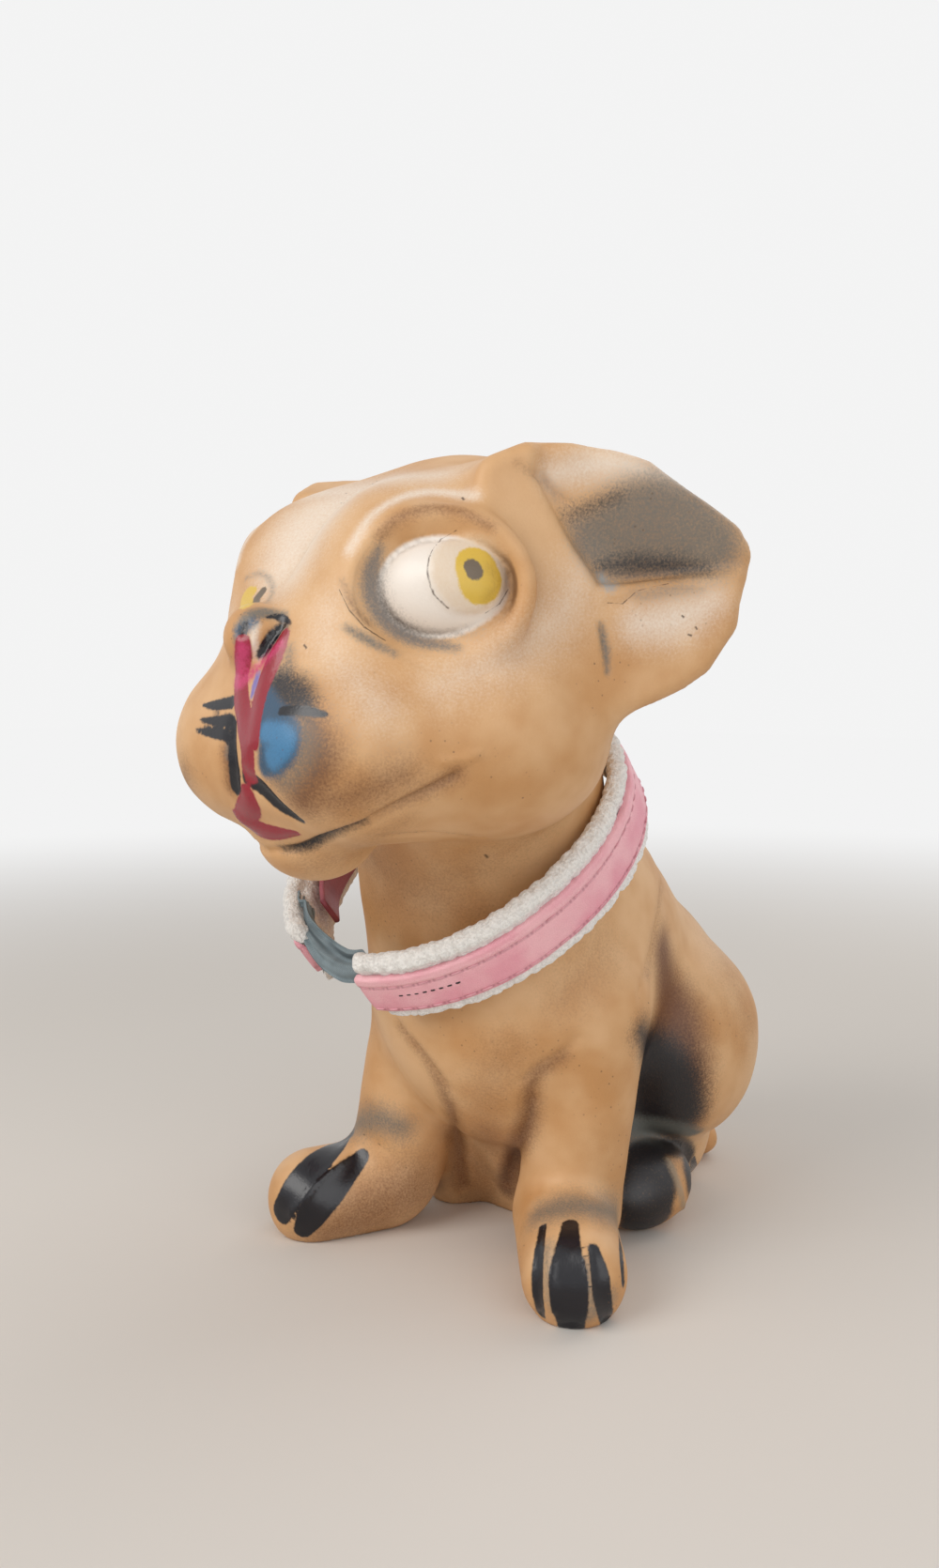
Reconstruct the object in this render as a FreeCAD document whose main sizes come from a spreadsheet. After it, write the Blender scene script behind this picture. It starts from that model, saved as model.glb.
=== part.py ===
import FreeCAD
import Part
import math
import os
import Sketcher

# Seated chalkware puppy with a loose fleece-lined collar.
# Millimetres, +Z up. The figure faces -Y and its own left side is +X.
# The origin lies on the flat base, under the middle of the body.

doc = FreeCAD.newDocument("chalkware_puppy")
sheet = doc.addObject("Spreadsheet::Sheet", "sizes")

SIZES = [
    # Plaster casting, body
    ("plaster_wall", 6.5),
    ("chest_width", 86.0),
    ("chest_depth", 84.0),
    ("chest_height", 90.0),
    ("chest_rise", 74.0),
    ("chest_forward", 27.0),
    ("rump_width", 92.0),
    ("rump_depth", 80.0),
    ("rump_height", 104.0),
    ("rump_rise", 50.0),
    ("rump_back", 32.0),
    ("back_length", 108.0),
    ("back_slope", 44.0),
    ("seat_width", 68.0),
    ("seat_depth", 66.0),
    ("seat_height", 26.0),
    ("belly_width", 60.0),
    ("belly_depth", 44.0),
    ("belly_height", 65.0),
    ("bib_width", 30.0),
    ("bib_depth", 52.0),
    ("bib_height", 72.0),
    ("bib_rise", 44.0),
    ("bib_forward", 12.0),
    ("bib_aside", 4.0),
    ("haunch_spread", 34.0),
    ("haunch_width", 46.0),
    ("haunch_depth", 62.0),
    ("haunch_height", 64.0),
    ("haunch_rise", 53.0),
    ("haunch_back", 25.0),
    ("tail_length", 44.0),
    ("tail_width", 17.0),
    ("tail_turn", 25.0),
    ("hind_foot_width", 32.0),
    ("hind_foot_length", 42.0),
    ("hind_foot_height", 25.5),
    ("hind_foot_spread", 30.0),
    ("leg_spread", 25.0),
    ("leg_forward", 36.0),
    ("leg_splay", 8.0),
    ("leg_advance", 4.0),
    ("leg_width", 29.0),
    ("leg_height", 75.0),
    ("shoulder_width", 41.0),
    ("shoulder_height", 62.0),
    ("paw_width", 30.0),
    ("paw_height", 25.0),
    ("paw_reach", 27.0),
    ("paw_splay", 33.0),
    ("drain_hole_width", 26.0),
    # Plaster casting, neck and head
    ("neck_width_low", 82.0),
    ("neck_width_top", 69.0),
    ("neck_length", 88.0),
    ("neck_rise", 70.0),
    ("neck_forward", 25.3),
    ("neck_lean", 17.4),
    ("throat_width", 72.0),
    ("throat_depth", 64.0),
    ("throat_height", 40.0),
    ("throat_rise", 146.0),
    ("throat_forward", 52.0),
    ("head_rise", 190.0),
    ("head_forward", 70.0),
    ("head_turn", 17.0),
    ("head_width", 100.0),
    ("head_depth", 92.0),
    ("head_height", 92.0),
    ("eye_width", 36.6),
    ("eye_height", 30.0),
    ("eye_depth", 33.0),
    ("eye_turn", 42.0),
    ("lid_width", 1.5),
    ("socket_depth", 8.0),
    ("ear_length", 42.0),
    ("ear_height", 75.0),
    ("ear_thickness", 15.0),
    ("ear_sweep", 58.5),
    # Collar
    ("collar_slack", 15.5),
    ("collar_rise", 119.4),
    ("collar_forward", 42.3),
    ("collar_aside", 8.6),
    ("collar_tilt", 38.0),
    ("collar_roll", 8.0),
    ("strap_width", 13.5),
    ("strap_thickness", 2.2),
    ("strap_gap", 36.0),
    ("near_end_angle", 4.0),
    ("lining_thickness", 4.0),
    ("lining_above", 5.5),
    ("lining_below", 3.0),
    ("lining_overhang", 2.0),
    ("elastic_width", 10.0),
    ("elastic_thickness", 2.2),
    ("elastic_overlap", 9.0),
    ("elastic_reach", 27.0),
    ("tail_end_length", 27.0),
    ("tail_end_width", 11.0),
    ("tail_end_setback", 14.0),
    ("thread_width", 0.55),
    ("thread_proud", 0.4),
    ("row_inset", 3.4),
    ("low_row_inset", 1.3),
    ("row_stitch_length", 3.3),
    ("row_stitch_pitch", 4.9),
    ("end_stitch_length", 1.7),
    ("end_stitch_pitch", 2.6),
    ("end_row_start", 12.0),
    ("end_row_length", 20.0),
    ("far_row_inset", 2.0),
    ("far_row_length", 9.0),
]
for row, (alias, value) in enumerate(SIZES, start=1):
    sheet.set(f"A{row}", alias)
    sheet.set(f"B{row}", str(value))
    sheet.setAlias(f"B{row}", alias)
doc.recompute()


def size(alias):
    """Value of one named size, for the few shapes that are drawn in code."""
    return float(sheet.get(alias))



def bind(obj, **expressions):
    """Tie properties to expressions; a double underscore stands for a dot."""
    for prop, expression in expressions.items():
        obj.setExpression(prop.replace("__", "."), expression)


def place(obj, x="0", y="0", z="0"):
    """Tie an object's position to three expressions."""
    bind(obj, Placement__Base__x=x, Placement__Base__y=y, Placement__Base__z=z)


def turn(obj, axis, angle):
    """Turn an object about an axis by an angle expression, in degrees."""
    obj.Placement = FreeCAD.Placement(FreeCAD.Vector(), FreeCAD.Rotation(axis, 1))
    obj.setExpression("Placement.Rotation.Angle", f"({angle}) * 1 deg")


X_AXIS = FreeCAD.Vector(1, 0, 0)
Y_AXIS = FreeCAD.Vector(0, 1, 0)
Z_AXIS = FreeCAD.Vector(0, 0, 1)


def ellipsoid(name, centre, radii, axis=None, angle=None):
    """Ellipsoid with centre and radii given as expressions along x, y and z."""
    obj = doc.addObject("Part::Ellipsoid", name)
    if axis is not None:
        turn(obj, axis, angle)
    place(obj, *centre)
    bind(obj, Radius2=radii[0], Radius3=radii[1], Radius1=radii[2])
    return obj


def fuse(name, shapes):
    """One solid from several overlapping ones."""
    obj = doc.addObject("Part::MultiFuse", name)
    obj.Shapes = shapes
    return obj


def cut(name, base, tool):
    """The base with the tool's space taken out."""
    obj = doc.addObject("Part::Cut", name)
    obj.Base = base
    obj.Tool = tool
    return obj


def paired(name, side):
    """Name of the left or right one of a pair."""
    return f"{name}_{'left' if side > 0 else 'right'}"


# Head: rounded masses in the head's own frame, as shares of its half sizes
HALF_HEAD = ("sizes.head_width / 2", "sizes.head_depth / 2", "sizes.head_height / 2")
HEAD_MASS_SHARES = {
    "cranium": ((0, 0.174, -0.087), (1, 1, 1)),
    "brow": ((0.36, -0.446, 0.065), (0.52, 0.576, 0.533)),
    "face": ((0, -0.565, -0.435), (0.7, 0.72, 0.54)),
    "muzzle": ((0, -0.848, -0.87), (0.49, 0.54, 0.49)),
    "jowl": ((0.35, -0.826, -0.891), (0.54, 0.585, 0.553)),
    "cheek": ((0.66, -0.13, -0.696), (0.56, 0.8, 0.54)),
    "nose": ((0, -1.152, -0.152), (0.2, 0.174, 0.207)),
    "chin": ((0, -0.891, -1.228), (0.32, 0.337, 0.293)),
    "jaw": ((0.36, -0.065, -0.88), (0.54, 0.696, 0.37)),
}


def scaled(shares):
    """Expressions for shares of the head's half sizes."""
    return [f"{half} * {share}" for half, share in zip(HALF_HEAD, shares)]


def head_masses():
    """Every mass of the head, the paired ones on both sides."""
    masses = []
    for name, (centre, radii) in HEAD_MASS_SHARES.items():
        sides = (1, -1) if centre[0] else (1,)
        for side in sides:
            label = name if len(sides) == 1 else paired(name, side)
            mirrored = (side * centre[0], centre[1], centre[2])
            masses.append(ellipsoid(label, scaled(mirrored), scaled(radii)))
    return masses


EYE_CENTRE_SHARES = (0.636, -0.528, 0.072)
EYE_RADII = ("sizes.eye_width / 2", "sizes.eye_depth / 2", "sizes.eye_height / 2")
SOCKET_RADII = (
    "sizes.eye_width / 2 + sizes.lid_width",
    "sizes.socket_depth",
    "sizes.eye_height / 2 + sizes.lid_width / 2",
)
SOCKET_STAND_SHARE = 0.97


def eye(side):
    """Eyeball and the shallow socket that rings it, on one side."""
    centre = scaled((side * EYE_CENTRE_SHARES[0], EYE_CENTRE_SHARES[1], EYE_CENTRE_SHARES[2]))
    facing = f"{side} * sizes.eye_turn"
    ball = ellipsoid(paired("eyeball", side), centre, EYE_RADII, Z_AXIS, facing)
    reach = f"sizes.eye_depth * {SOCKET_STAND_SHARE} / 2"
    outward = (
        f"{centre[0]} + {side} * {reach} * sin(sizes.eye_turn * 1 deg)",
        f"{centre[1]} - {reach} * cos(sizes.eye_turn * 1 deg)",
        centre[2],
    )
    socket = ellipsoid(paired("socket", side), outward, SOCKET_RADII, Z_AXIS, facing)
    return ball, socket


# Ear: sections from root to tip, as shares of its length, height and thickness
EAR_ROOT_SHARES = (0.96, 0.174, 0.0)
EAR_SECTION_SHARES = [
    (-0.50, 0.00, 0.43, 1.00),
    (-0.12, 0.01, 0.47, 1.00),
    (0.24, 0.056, 0.424, 0.90),
    (0.55, 0.07, 0.324, 0.76),
    (0.74, 0.056, 0.25, 0.66),
    (0.905, 0.076, 0.147, 0.55),
    (1.00, 0.12, 0.05, 0.36),
]
EAR_HOLLOW_CENTRE_SHARES = (0.72, 0.26, 0.25)
EAR_HOLLOW_RADII_SHARES = (0.78, 0.6, 0.2)


def ear_leaf():
    """Left ear: a pointed leaf lofted through ellipses, hollowed on its front."""
    upright = FreeCAD.Rotation(Z_AXIS, X_AXIS, Y_AXIS, "ZXY")
    sections = []
    for index, (along, rise, tall, thick) in enumerate(EAR_SECTION_SHARES, start=1):
        section = doc.addObject("Part::Ellipse", f"ear_section_{index}")
        section.Placement = FreeCAD.Placement(FreeCAD.Vector(), upright)
        bind(
            section,
            MajorRadius=f"sizes.ear_height * {tall}",
            MinorRadius=f"sizes.ear_thickness * {thick} / 2",
        )
        place(section, y=f"sizes.ear_length * {along}", z=f"sizes.ear_height * {rise}")
        sections.append(section)
    leaf = doc.addObject("Part::Loft", "ear_leaf")
    leaf.Sections = sections
    leaf.Solid = True
    hollow = ellipsoid(
        "ear_hollow",
        [
            f"sizes.ear_thickness * {EAR_HOLLOW_CENTRE_SHARES[0]}",
            f"sizes.ear_length * {EAR_HOLLOW_CENTRE_SHARES[1]}",
            f"sizes.ear_height * {EAR_HOLLOW_CENTRE_SHARES[2]}",
        ],
        [
            f"sizes.ear_thickness * {EAR_HOLLOW_RADII_SHARES[0]}",
            f"sizes.ear_length * {EAR_HOLLOW_RADII_SHARES[1]}",
            f"sizes.ear_height * {EAR_HOLLOW_RADII_SHARES[2]}",
        ],
    )
    ear = cut("ear_left", leaf, hollow)
    turn(ear, Z_AXIS, "sizes.ear_sweep - 90")
    place(ear, *scaled(EAR_ROOT_SHARES))
    return ear


def head():
    """The whole head in its own frame, then turned and set on the neck."""
    masses = fuse("head_masses", head_masses())
    left_ball, left_socket = eye(1)
    right_ball, right_socket = eye(-1)
    socketed = cut("socketed_head", masses, fuse("sockets", [left_socket, right_socket]))
    left_ear = ear_leaf()
    right_ear = doc.addObject("Part::Mirroring", "ear_right")
    right_ear.Source = left_ear
    right_ear.Normal = X_AXIS
    whole = fuse("head", [socketed, left_ball, right_ball, left_ear, right_ear])
    turn(whole, Z_AXIS, "0 - sizes.head_turn")
    place(whole, y="0 - sizes.head_forward", z="sizes.head_rise")
    return whole


def neck(name, wall):
    """Leaning neck cone; the wall is what is left outside it."""
    obj = doc.addObject("Part::Cone", name)
    turn(obj, X_AXIS, "sizes.neck_lean")
    place(obj, y="0 - sizes.neck_forward", z="sizes.neck_rise")
    bind(
        obj,
        Radius1=f"sizes.neck_width_low / 2 - {wall}",
        Radius2=f"sizes.neck_width_top / 2 - {wall}",
        Height="sizes.neck_length",
    )
    return obj


# Back mass: where it lies between chest and rump, and its size, as shares of theirs
BACK_RISE_SHARE = 0.2
BACK_WIDTH_SHARE = 0.485
BACK_TALL_SHARE = 0.49


def trunk(prefix, wall):
    """Chest, back, rump and seat masses, drawn in by a wall on all sides."""
    chest = ellipsoid(
        f"{prefix}_chest",
        ("0", "0 - sizes.chest_forward", "sizes.chest_rise"),
        (
            f"sizes.chest_width / 2 - {wall}",
            f"sizes.chest_depth / 2 - {wall}",
            f"sizes.chest_height / 2 - {wall}",
        ),
    )
    middle = "(sizes.rump_back - sizes.chest_forward) / 2"
    chest_line = f"sizes.chest_rise + sizes.chest_height * {BACK_RISE_SHARE}"
    rump_line = f"sizes.rump_rise + sizes.rump_height * {BACK_RISE_SHARE}"
    back = ellipsoid(
        f"{prefix}_back",
        ("0", middle, f"({chest_line} + {rump_line}) / 2"),
        (
            f"sizes.chest_width * {BACK_WIDTH_SHARE} - {wall}",
            f"sizes.back_length / 2 - {wall}",
            f"sizes.chest_depth * {BACK_TALL_SHARE} - {wall}",
        ),
        X_AXIS,
        "0 - sizes.back_slope",
    )
    rump = ellipsoid(
        f"{prefix}_rump",
        ("0", "sizes.rump_back", "sizes.rump_rise"),
        (
            f"sizes.rump_width / 2 - {wall}",
            f"sizes.rump_depth / 2 - {wall}",
            f"sizes.rump_height / 2 - {wall}",
        ),
    )
    return [chest, back, rump, neck(f"{prefix}_neck", wall)]


# Front legs, paws and hind feet: shares of their own widths and heights
HIND_FOOT_RISE_SHARE = 0.47
LEG_SINK_SHARE = 0.25
LEG_TOP_SHARE = 0.43
PAW_RISE_SHARE = 0.44
PAW_TALL_SHARE = 0.58
PAW_REACH_SHARES = (("paw", 0.35, 1.0), ("toes", 1.0, 0.62))


def limbs(side):
    """Front leg and paw, haunch and hind foot of one side."""
    haunch = ellipsoid(
        paired("haunch", side),
        (f"{side} * sizes.haunch_spread", "sizes.haunch_back", "sizes.haunch_rise"),
        ("sizes.haunch_width / 2", "sizes.haunch_depth / 2", "sizes.haunch_height / 2"),
    )
    hind_foot = ellipsoid(
        paired("hind_foot", side),
        (f"{side} * sizes.hind_foot_spread", "0", f"sizes.hind_foot_height * {HIND_FOOT_RISE_SHARE}"),
        ("sizes.hind_foot_width / 2", "sizes.hind_foot_length / 2", "sizes.hind_foot_height / 2"),
    )
    # The right front leg stands a little wider and further forward
    own = 0 if side > 0 else 1
    leg_x = f"{side} * (sizes.leg_spread + {own} * sizes.leg_splay)"
    leg_y = f"0 - sizes.leg_forward - {own} * sizes.leg_advance"
    leg = doc.addObject("Part::Cone", paired("leg", side))
    sink = f"sizes.leg_width * {LEG_SINK_SHARE}"
    place(leg, x=leg_x, y=leg_y, z=f"0 - {sink}")
    bind(
        leg,
        Radius1="sizes.leg_width / 2",
        Radius2=f"sizes.shoulder_width * {LEG_TOP_SHARE}",
        Height=f"sizes.leg_height + {sink}",
    )
    shoulder = ellipsoid(
        paired("shoulder", side),
        (leg_x, leg_y, "sizes.leg_height"),
        ("sizes.shoulder_width / 2", "sizes.shoulder_width / 2", "sizes.shoulder_height / 2"),
    )
    aside = "sin(sizes.paw_splay * 1 deg)"
    ahead = "cos(sizes.paw_splay * 1 deg)"
    masses = [haunch, hind_foot, leg, shoulder]
    for part, share, length_share in PAW_REACH_SHARES:
        masses.append(
            ellipsoid(
                paired(part, side),
                (
                    f"{leg_x} + {side} * sizes.paw_reach * {share} * {aside}",
                    f"{leg_y} - sizes.paw_reach * {share} * {ahead}",
                    f"sizes.paw_height * {PAW_RISE_SHARE}",
                ),
                (
                    "sizes.paw_width / 2",
                    f"sizes.paw_reach * {length_share}",
                    f"sizes.paw_height * {PAW_TALL_SHARE}",
                ),
                Z_AXIS,
                f"{side} * sizes.paw_splay",
            )
        )
    return masses


def chain(name, shapes):
    """One solid made by adding the shapes one after another."""
    whole = shapes[0]
    for index, shape in enumerate(shapes[1:], start=1):
        last = index == len(shapes) - 1
        joined = doc.addObject("Part::Fuse", name if last else f"{name}_step_{index}")
        joined.Base = whole
        joined.Tool = shape
        whole = joined
    return whole


def above_ground(obj):
    """The part of a mass that stands above the base plane."""
    clipped = doc.addObject("Part::Common", f"{obj.Name}_above_ground")
    clipped.Base = obj
    clipped.Tool = air
    return clipped


# Seat, tail and the wall over the skull: shares of their own sizes
SEAT_SHARE = 0.55
TAIL_PLACE_SHARES = (0.25, 0.2, 0.4)
TAIL_TALL_SHARE = 0.6
SKULL_WALL_SHARE = 1.25


def casting():
    """Hollow plaster casting with its drain hole in the base."""
    seat = ellipsoid(
        "seat",
        ("0", "sizes.rump_back", f"sizes.seat_height * {SEAT_SHARE}"),
        (f"sizes.seat_width * {SEAT_SHARE}", f"sizes.seat_depth * {SEAT_SHARE}", "sizes.seat_height"),
    )
    belly = ellipsoid(
        "belly",
        ("0", "0", "sizes.belly_height - sizes.belly_depth"),
        ("sizes.belly_width / 2", "sizes.belly_depth / 2", "sizes.belly_depth"),
    )
    bib = ellipsoid(
        "bib",
        ("0 - sizes.bib_aside", "0 - sizes.bib_forward", "sizes.bib_rise"),
        ("sizes.bib_width / 2", "sizes.bib_depth / 2", "sizes.bib_height / 2"),
    )
    throat = ellipsoid(
        "throat",
        ("0", "0 - sizes.throat_forward", "sizes.throat_rise"),
        ("sizes.throat_width / 2", "sizes.throat_depth / 2", "sizes.throat_height / 2"),
    )
    aside_share, tuck_share, rise_share = TAIL_PLACE_SHARES
    tail = ellipsoid(
        "tail",
        (
            f"sizes.tail_length * {aside_share}",
            f"sizes.rump_back + sizes.rump_depth / 2 - sizes.tail_width * {tuck_share}",
            f"sizes.tail_width * {rise_share}",
        ),
        ("sizes.tail_length / 2", "sizes.tail_width / 2", f"sizes.tail_width * {TAIL_TALL_SHARE}"),
        Z_AXIS,
        "0 - sizes.tail_turn",
    )
    outer_chest, outer_back, outer_rump, outer_neck = trunk("outer", "0")
    low = [outer_back, outer_rump, seat, belly, bib, tail]
    for side in (1, -1):
        haunch, hind_foot, leg, shoulder, paw, toes = limbs(side)
        low += [haunch, hind_foot, leg, shoulder, paw, toes]
    outer = chain("outer", [head(), outer_neck, throat, outer_chest] + [above_ground(mass) for mass in low])
    wall = "sizes.plaster_wall"
    inner_chest, inner_back, inner_rump, inner_neck = trunk("inner", wall)
    middle_share, low_share = HEAD_MASS_SHARES["cranium"][0][1:]
    inner_cranium = ellipsoid(
        "inner_cranium",
        (
            f"sizes.head_depth / 2 * {middle_share} * sin(sizes.head_turn * 1 deg)",
            f"sizes.head_depth / 2 * {middle_share} * cos(sizes.head_turn * 1 deg) - sizes.head_forward",
            f"sizes.head_rise + sizes.head_height / 2 * {low_share}",
        ),
        [f"{half} - {wall} * {SKULL_WALL_SHARE}" for half in HALF_HEAD],
        Z_AXIS,
        "0 - sizes.head_turn",
    )
    drain = doc.addObject("Part::Cylinder", "drain_hole")
    bind(drain, Radius="sizes.drain_hole_width / 2", Height="sizes.rump_rise + sizes.plaster_wall")
    place(drain, y="sizes.rump_back", z="0 - sizes.plaster_wall")
    hollow = chain("hollow", [inner_cranium, inner_neck, inner_chest, inner_back, inner_rump, drain])
    return cut("plaster_casting", outer, hollow)


def collar_placement(start="0"):
    """Place in the tilted plane of the collar, turned on to a start angle."""
    base = "vector(0 - sizes.collar_aside; 0 - sizes.collar_forward; sizes.collar_rise)"
    tilt = "rotation(vector(1; 0; 0); sizes.collar_tilt)"
    roll = "rotation(vector(0; 1; 0); 0 - sizes.collar_roll)"
    onward = f"rotation(vector(0; 0; 1); {start} - 90)"
    return f"placement({base}; {tilt} * {roll} * {onward})"


BORE = "(sizes.neck_width_top / 2 + sizes.collar_slack)"
LEATHER_FACE = f"({BORE} + sizes.lining_thickness + sizes.strap_thickness)"
GAP_ANGLE = f"(sizes.strap_gap / {LEATHER_FACE} * 180 / pi)"


def band(name, inner, thickness, low, width, start, sweep):
    """Body revolved from a rectangle: a curved band about the collar's axis."""
    body = doc.addObject("PartDesign::Body", name)
    sketch = body.newObject("Sketcher::SketchObject", f"{name}_section")
    plane = next(f for f in body.Origin.OriginFeatures if f.Role == "XZ_Plane")
    sketch.AttachmentSupport = (plane, [""])
    sketch.MapMode = "FlatFace"
    corners = [(2.0, 0.0), (3.0, 0.0), (3.0, 1.0), (2.0, 1.0)]
    points = [FreeCAD.Vector(x, z, 0) for x, z in corners]
    for first, second in zip(points, points[1:] + points[:1]):
        sketch.addGeometry(Part.LineSegment(first, second), False)
    for line in range(4):
        sketch.addConstraint(Sketcher.Constraint("Coincident", line, 2, (line + 1) % 4, 1))
    for line, kind in enumerate(("Horizontal", "Vertical", "Horizontal", "Vertical")):
        sketch.addConstraint(Sketcher.Constraint(kind, line))
    sketch.addConstraint(Sketcher.Constraint("DistanceX", -1, 1, 0, 1, 2.0))
    sketch.addConstraint(Sketcher.Constraint("DistanceX", 0, 1, 0, 2, 1.0))
    sketch.addConstraint(Sketcher.Constraint("DistanceY", -1, 1, 0, 1, 0.0))
    sketch.addConstraint(Sketcher.Constraint("DistanceY", 1, 1, 1, 2, 1.0))
    for index, expression in zip(range(8, 12), (inner, thickness, low, width)):
        sketch.setExpression(f"Constraints[{index}]", expression)
    revolved = body.newObject("PartDesign::Revolution", f"{name}_turned")
    revolved.Profile = sketch
    revolved.ReferenceAxis = (sketch, ["V_Axis"])
    revolved.Angle = 90
    revolved.setExpression("Angle", sweep)
    body.setExpression("Placement", collar_placement(start))
    body.Label = name
    return body


air = doc.addObject("Part::Box", "air")
bind(air, Length="sizes.head_width * 4", Width="sizes.head_width * 4", Height="sizes.head_rise * 2")
place(air, x="0 - sizes.head_width * 2", y="0 - sizes.head_width * 2")
plaster_casting = casting()

# Collar: leather strap, fleece lining, elastic insert and tucked-in strap tail
NEAR_END = "(0 - sizes.near_end_angle)"
STRAP_SWEEP = f"(360 - {GAP_ANGLE})"
OVERHANG_ANGLE = f"(sizes.lining_overhang / {BORE} * 180 / pi)"
ELASTIC_NEAR_ANGLE = f"(sizes.elastic_overlap / {BORE} * 180 / pi)"
ELASTIC_FAR_ANGLE = f"(sizes.elastic_reach / {BORE} * 180 / pi)"
TAIL_SETBACK_ANGLE = f"(sizes.tail_end_setback / {BORE} * 180 / pi)"
TAIL_SWEEP = f"(sizes.tail_end_length / {BORE} * 180 / pi)"
TUCKED_LOW_SHARE = 0.4

collar_strap = band(
    "collar_strap",
    f"{BORE} + sizes.lining_thickness",
    "sizes.strap_thickness",
    "0 - sizes.strap_width / 2",
    "sizes.strap_width",
    NEAR_END,
    STRAP_SWEEP,
)
collar_lining = band(
    "collar_lining",
    BORE,
    "sizes.lining_thickness",
    "0 - sizes.strap_width / 2 - sizes.lining_below",
    "sizes.lining_below + sizes.strap_width + sizes.lining_above",
    f"{NEAR_END} - {OVERHANG_ANGLE}",
    f"{STRAP_SWEEP} + 2 * {OVERHANG_ANGLE}",
)
elastic_insert = band(
    "elastic_insert",
    f"{BORE} - sizes.elastic_thickness",
    "sizes.elastic_thickness",
    f"0 - sizes.elastic_width * {TUCKED_LOW_SHARE}",
    "sizes.elastic_width",
    f"{NEAR_END} - {GAP_ANGLE} - {ELASTIC_FAR_ANGLE}",
    f"{ELASTIC_FAR_ANGLE} + {GAP_ANGLE} + {ELASTIC_NEAR_ANGLE}",
)
strap_tail = band(
    "strap_tail",
    f"{BORE} - sizes.elastic_thickness - sizes.strap_thickness",
    "sizes.strap_thickness",
    f"0 - sizes.tail_end_width * {TUCKED_LOW_SHARE}",
    "sizes.tail_end_width",
    f"{NEAR_END} - {GAP_ANGLE} - {TAIL_SETBACK_ANGLE} - {TAIL_SWEEP}",
    TAIL_SWEEP,
)
doc.recompute()

# Thread: short straight stitches that lie on the strap's outer face
bore = size("neck_width_top") / 2 + size("collar_slack")
leather_face = bore + size("lining_thickness") + size("strap_thickness")
strap_length = leather_face * 2 * math.pi - size("strap_gap")
strap_start = -math.radians(size("near_end_angle"))


def stitch(run, across, length, upright=False):
    """One stitch at a run along the strap from its near end and a place across it."""
    wide = size("thread_width") if upright else length
    tall = length if upright else size("thread_width")
    thread = Part.makeBox(wide, size("thread_proud"), tall)
    thread.translate(FreeCAD.Vector(-wide / 2, -leather_face - size("thread_proud"), across - tall / 2))
    thread.rotate(FreeCAD.Vector(), Z_AXIS, math.degrees(strap_start + run / leather_face))
    return thread


def row_of_stitches(name, runs, across, length):
    """Group of separate stitches at the same height on the strap."""
    return stitch_group(name, [stitch(run, across, length) for run in runs])


def stitch_group(name, stitches):
    """Node that holds separate stitches, placed in the collar's plane."""
    obj = doc.addObject("Part::Feature", name)
    obj.Shape = Part.makeCompound(stitches)
    obj.Label = name
    obj.setExpression("Placement", collar_placement("90"))
    return obj


def spaced(start, length, pitch):
    """Even places about a pitch apart over a length."""
    count = max(1, round(length / pitch))
    return [start + length / count * (index + 0.5) for index in range(count)]


# The long rows stop short of the upright stitches at the far end
long_row = spaced(0, strap_length - 2 * size("far_row_inset"), size("row_stitch_pitch"))
half_strap = size("strap_width") / 2
upper_stitch_row = row_of_stitches(
    "upper_stitch_row", long_row, half_strap - size("row_inset"), size("row_stitch_length")
)
lower_stitch_row = row_of_stitches(
    "lower_stitch_row", long_row, size("low_row_inset") - half_strap, size("row_stitch_length")
)
near_end_stitch_row = row_of_stitches(
    "near_end_stitch_row",
    spaced(size("end_row_start"), size("end_row_length"), size("end_stitch_pitch")),
    0,
    size("end_stitch_length"),
)
far_row_low = -size("far_row_length") / 2
far_end_stitch_row = stitch_group(
    "far_end_stitch_row",
    [
        stitch(strap_length - size("far_row_inset"), place_across, size("end_stitch_length"), upright=True)
        for place_across in spaced(far_row_low, size("far_row_length"), size("end_stitch_pitch"))
    ],
)
doc.recompute()

for obj in doc.Objects:
    bad = [state for state in obj.State if state in ("Invalid", "Error")]
    if bad:
        raise RuntimeError(f"{obj.Name} is {bad}: {obj.getStatusString()}")

NODES = [
    plaster_casting,
    collar_strap,
    collar_lining,
    elastic_insert,
    strap_tail,
    upper_stitch_row,
    lower_stitch_row,
    near_end_stitch_row,
    far_end_stitch_row,
]
for node in NODES:
    shape = node.Shape
    if shape.isNull() or not shape.isValid():
        raise RuntimeError(f"{node.Label} has no valid shape")
    print(f"{node.Label}: {len(shape.Solids)} solids, {shape.Volume:.0f} mm3")

os.makedirs("parts", exist_ok=True)
for node in NODES:
    node.Shape.exportStep(f"parts/{node.Label}.step")
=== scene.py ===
"""Seated chalkware puppy with a loose fleece-lined collar: the dressed model.

The figure is one hollow plaster casting. Its surface is worked out as a smooth union of
rounded masses, then carved and painted along strokes that are laid on it. The collar is a
leather strap over a strip of fleece, closed by a piece of elastic, with a strap tail tucked
inside. Lengths are millimetres in the row frame until a mesh is made, which is in metres.
"""

from __future__ import annotations

import logging
import math
from dataclasses import dataclass, field
from enum import Enum
from typing import Callable, Sequence

import bpy
import numpy as np
from mathutils import Matrix


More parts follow.
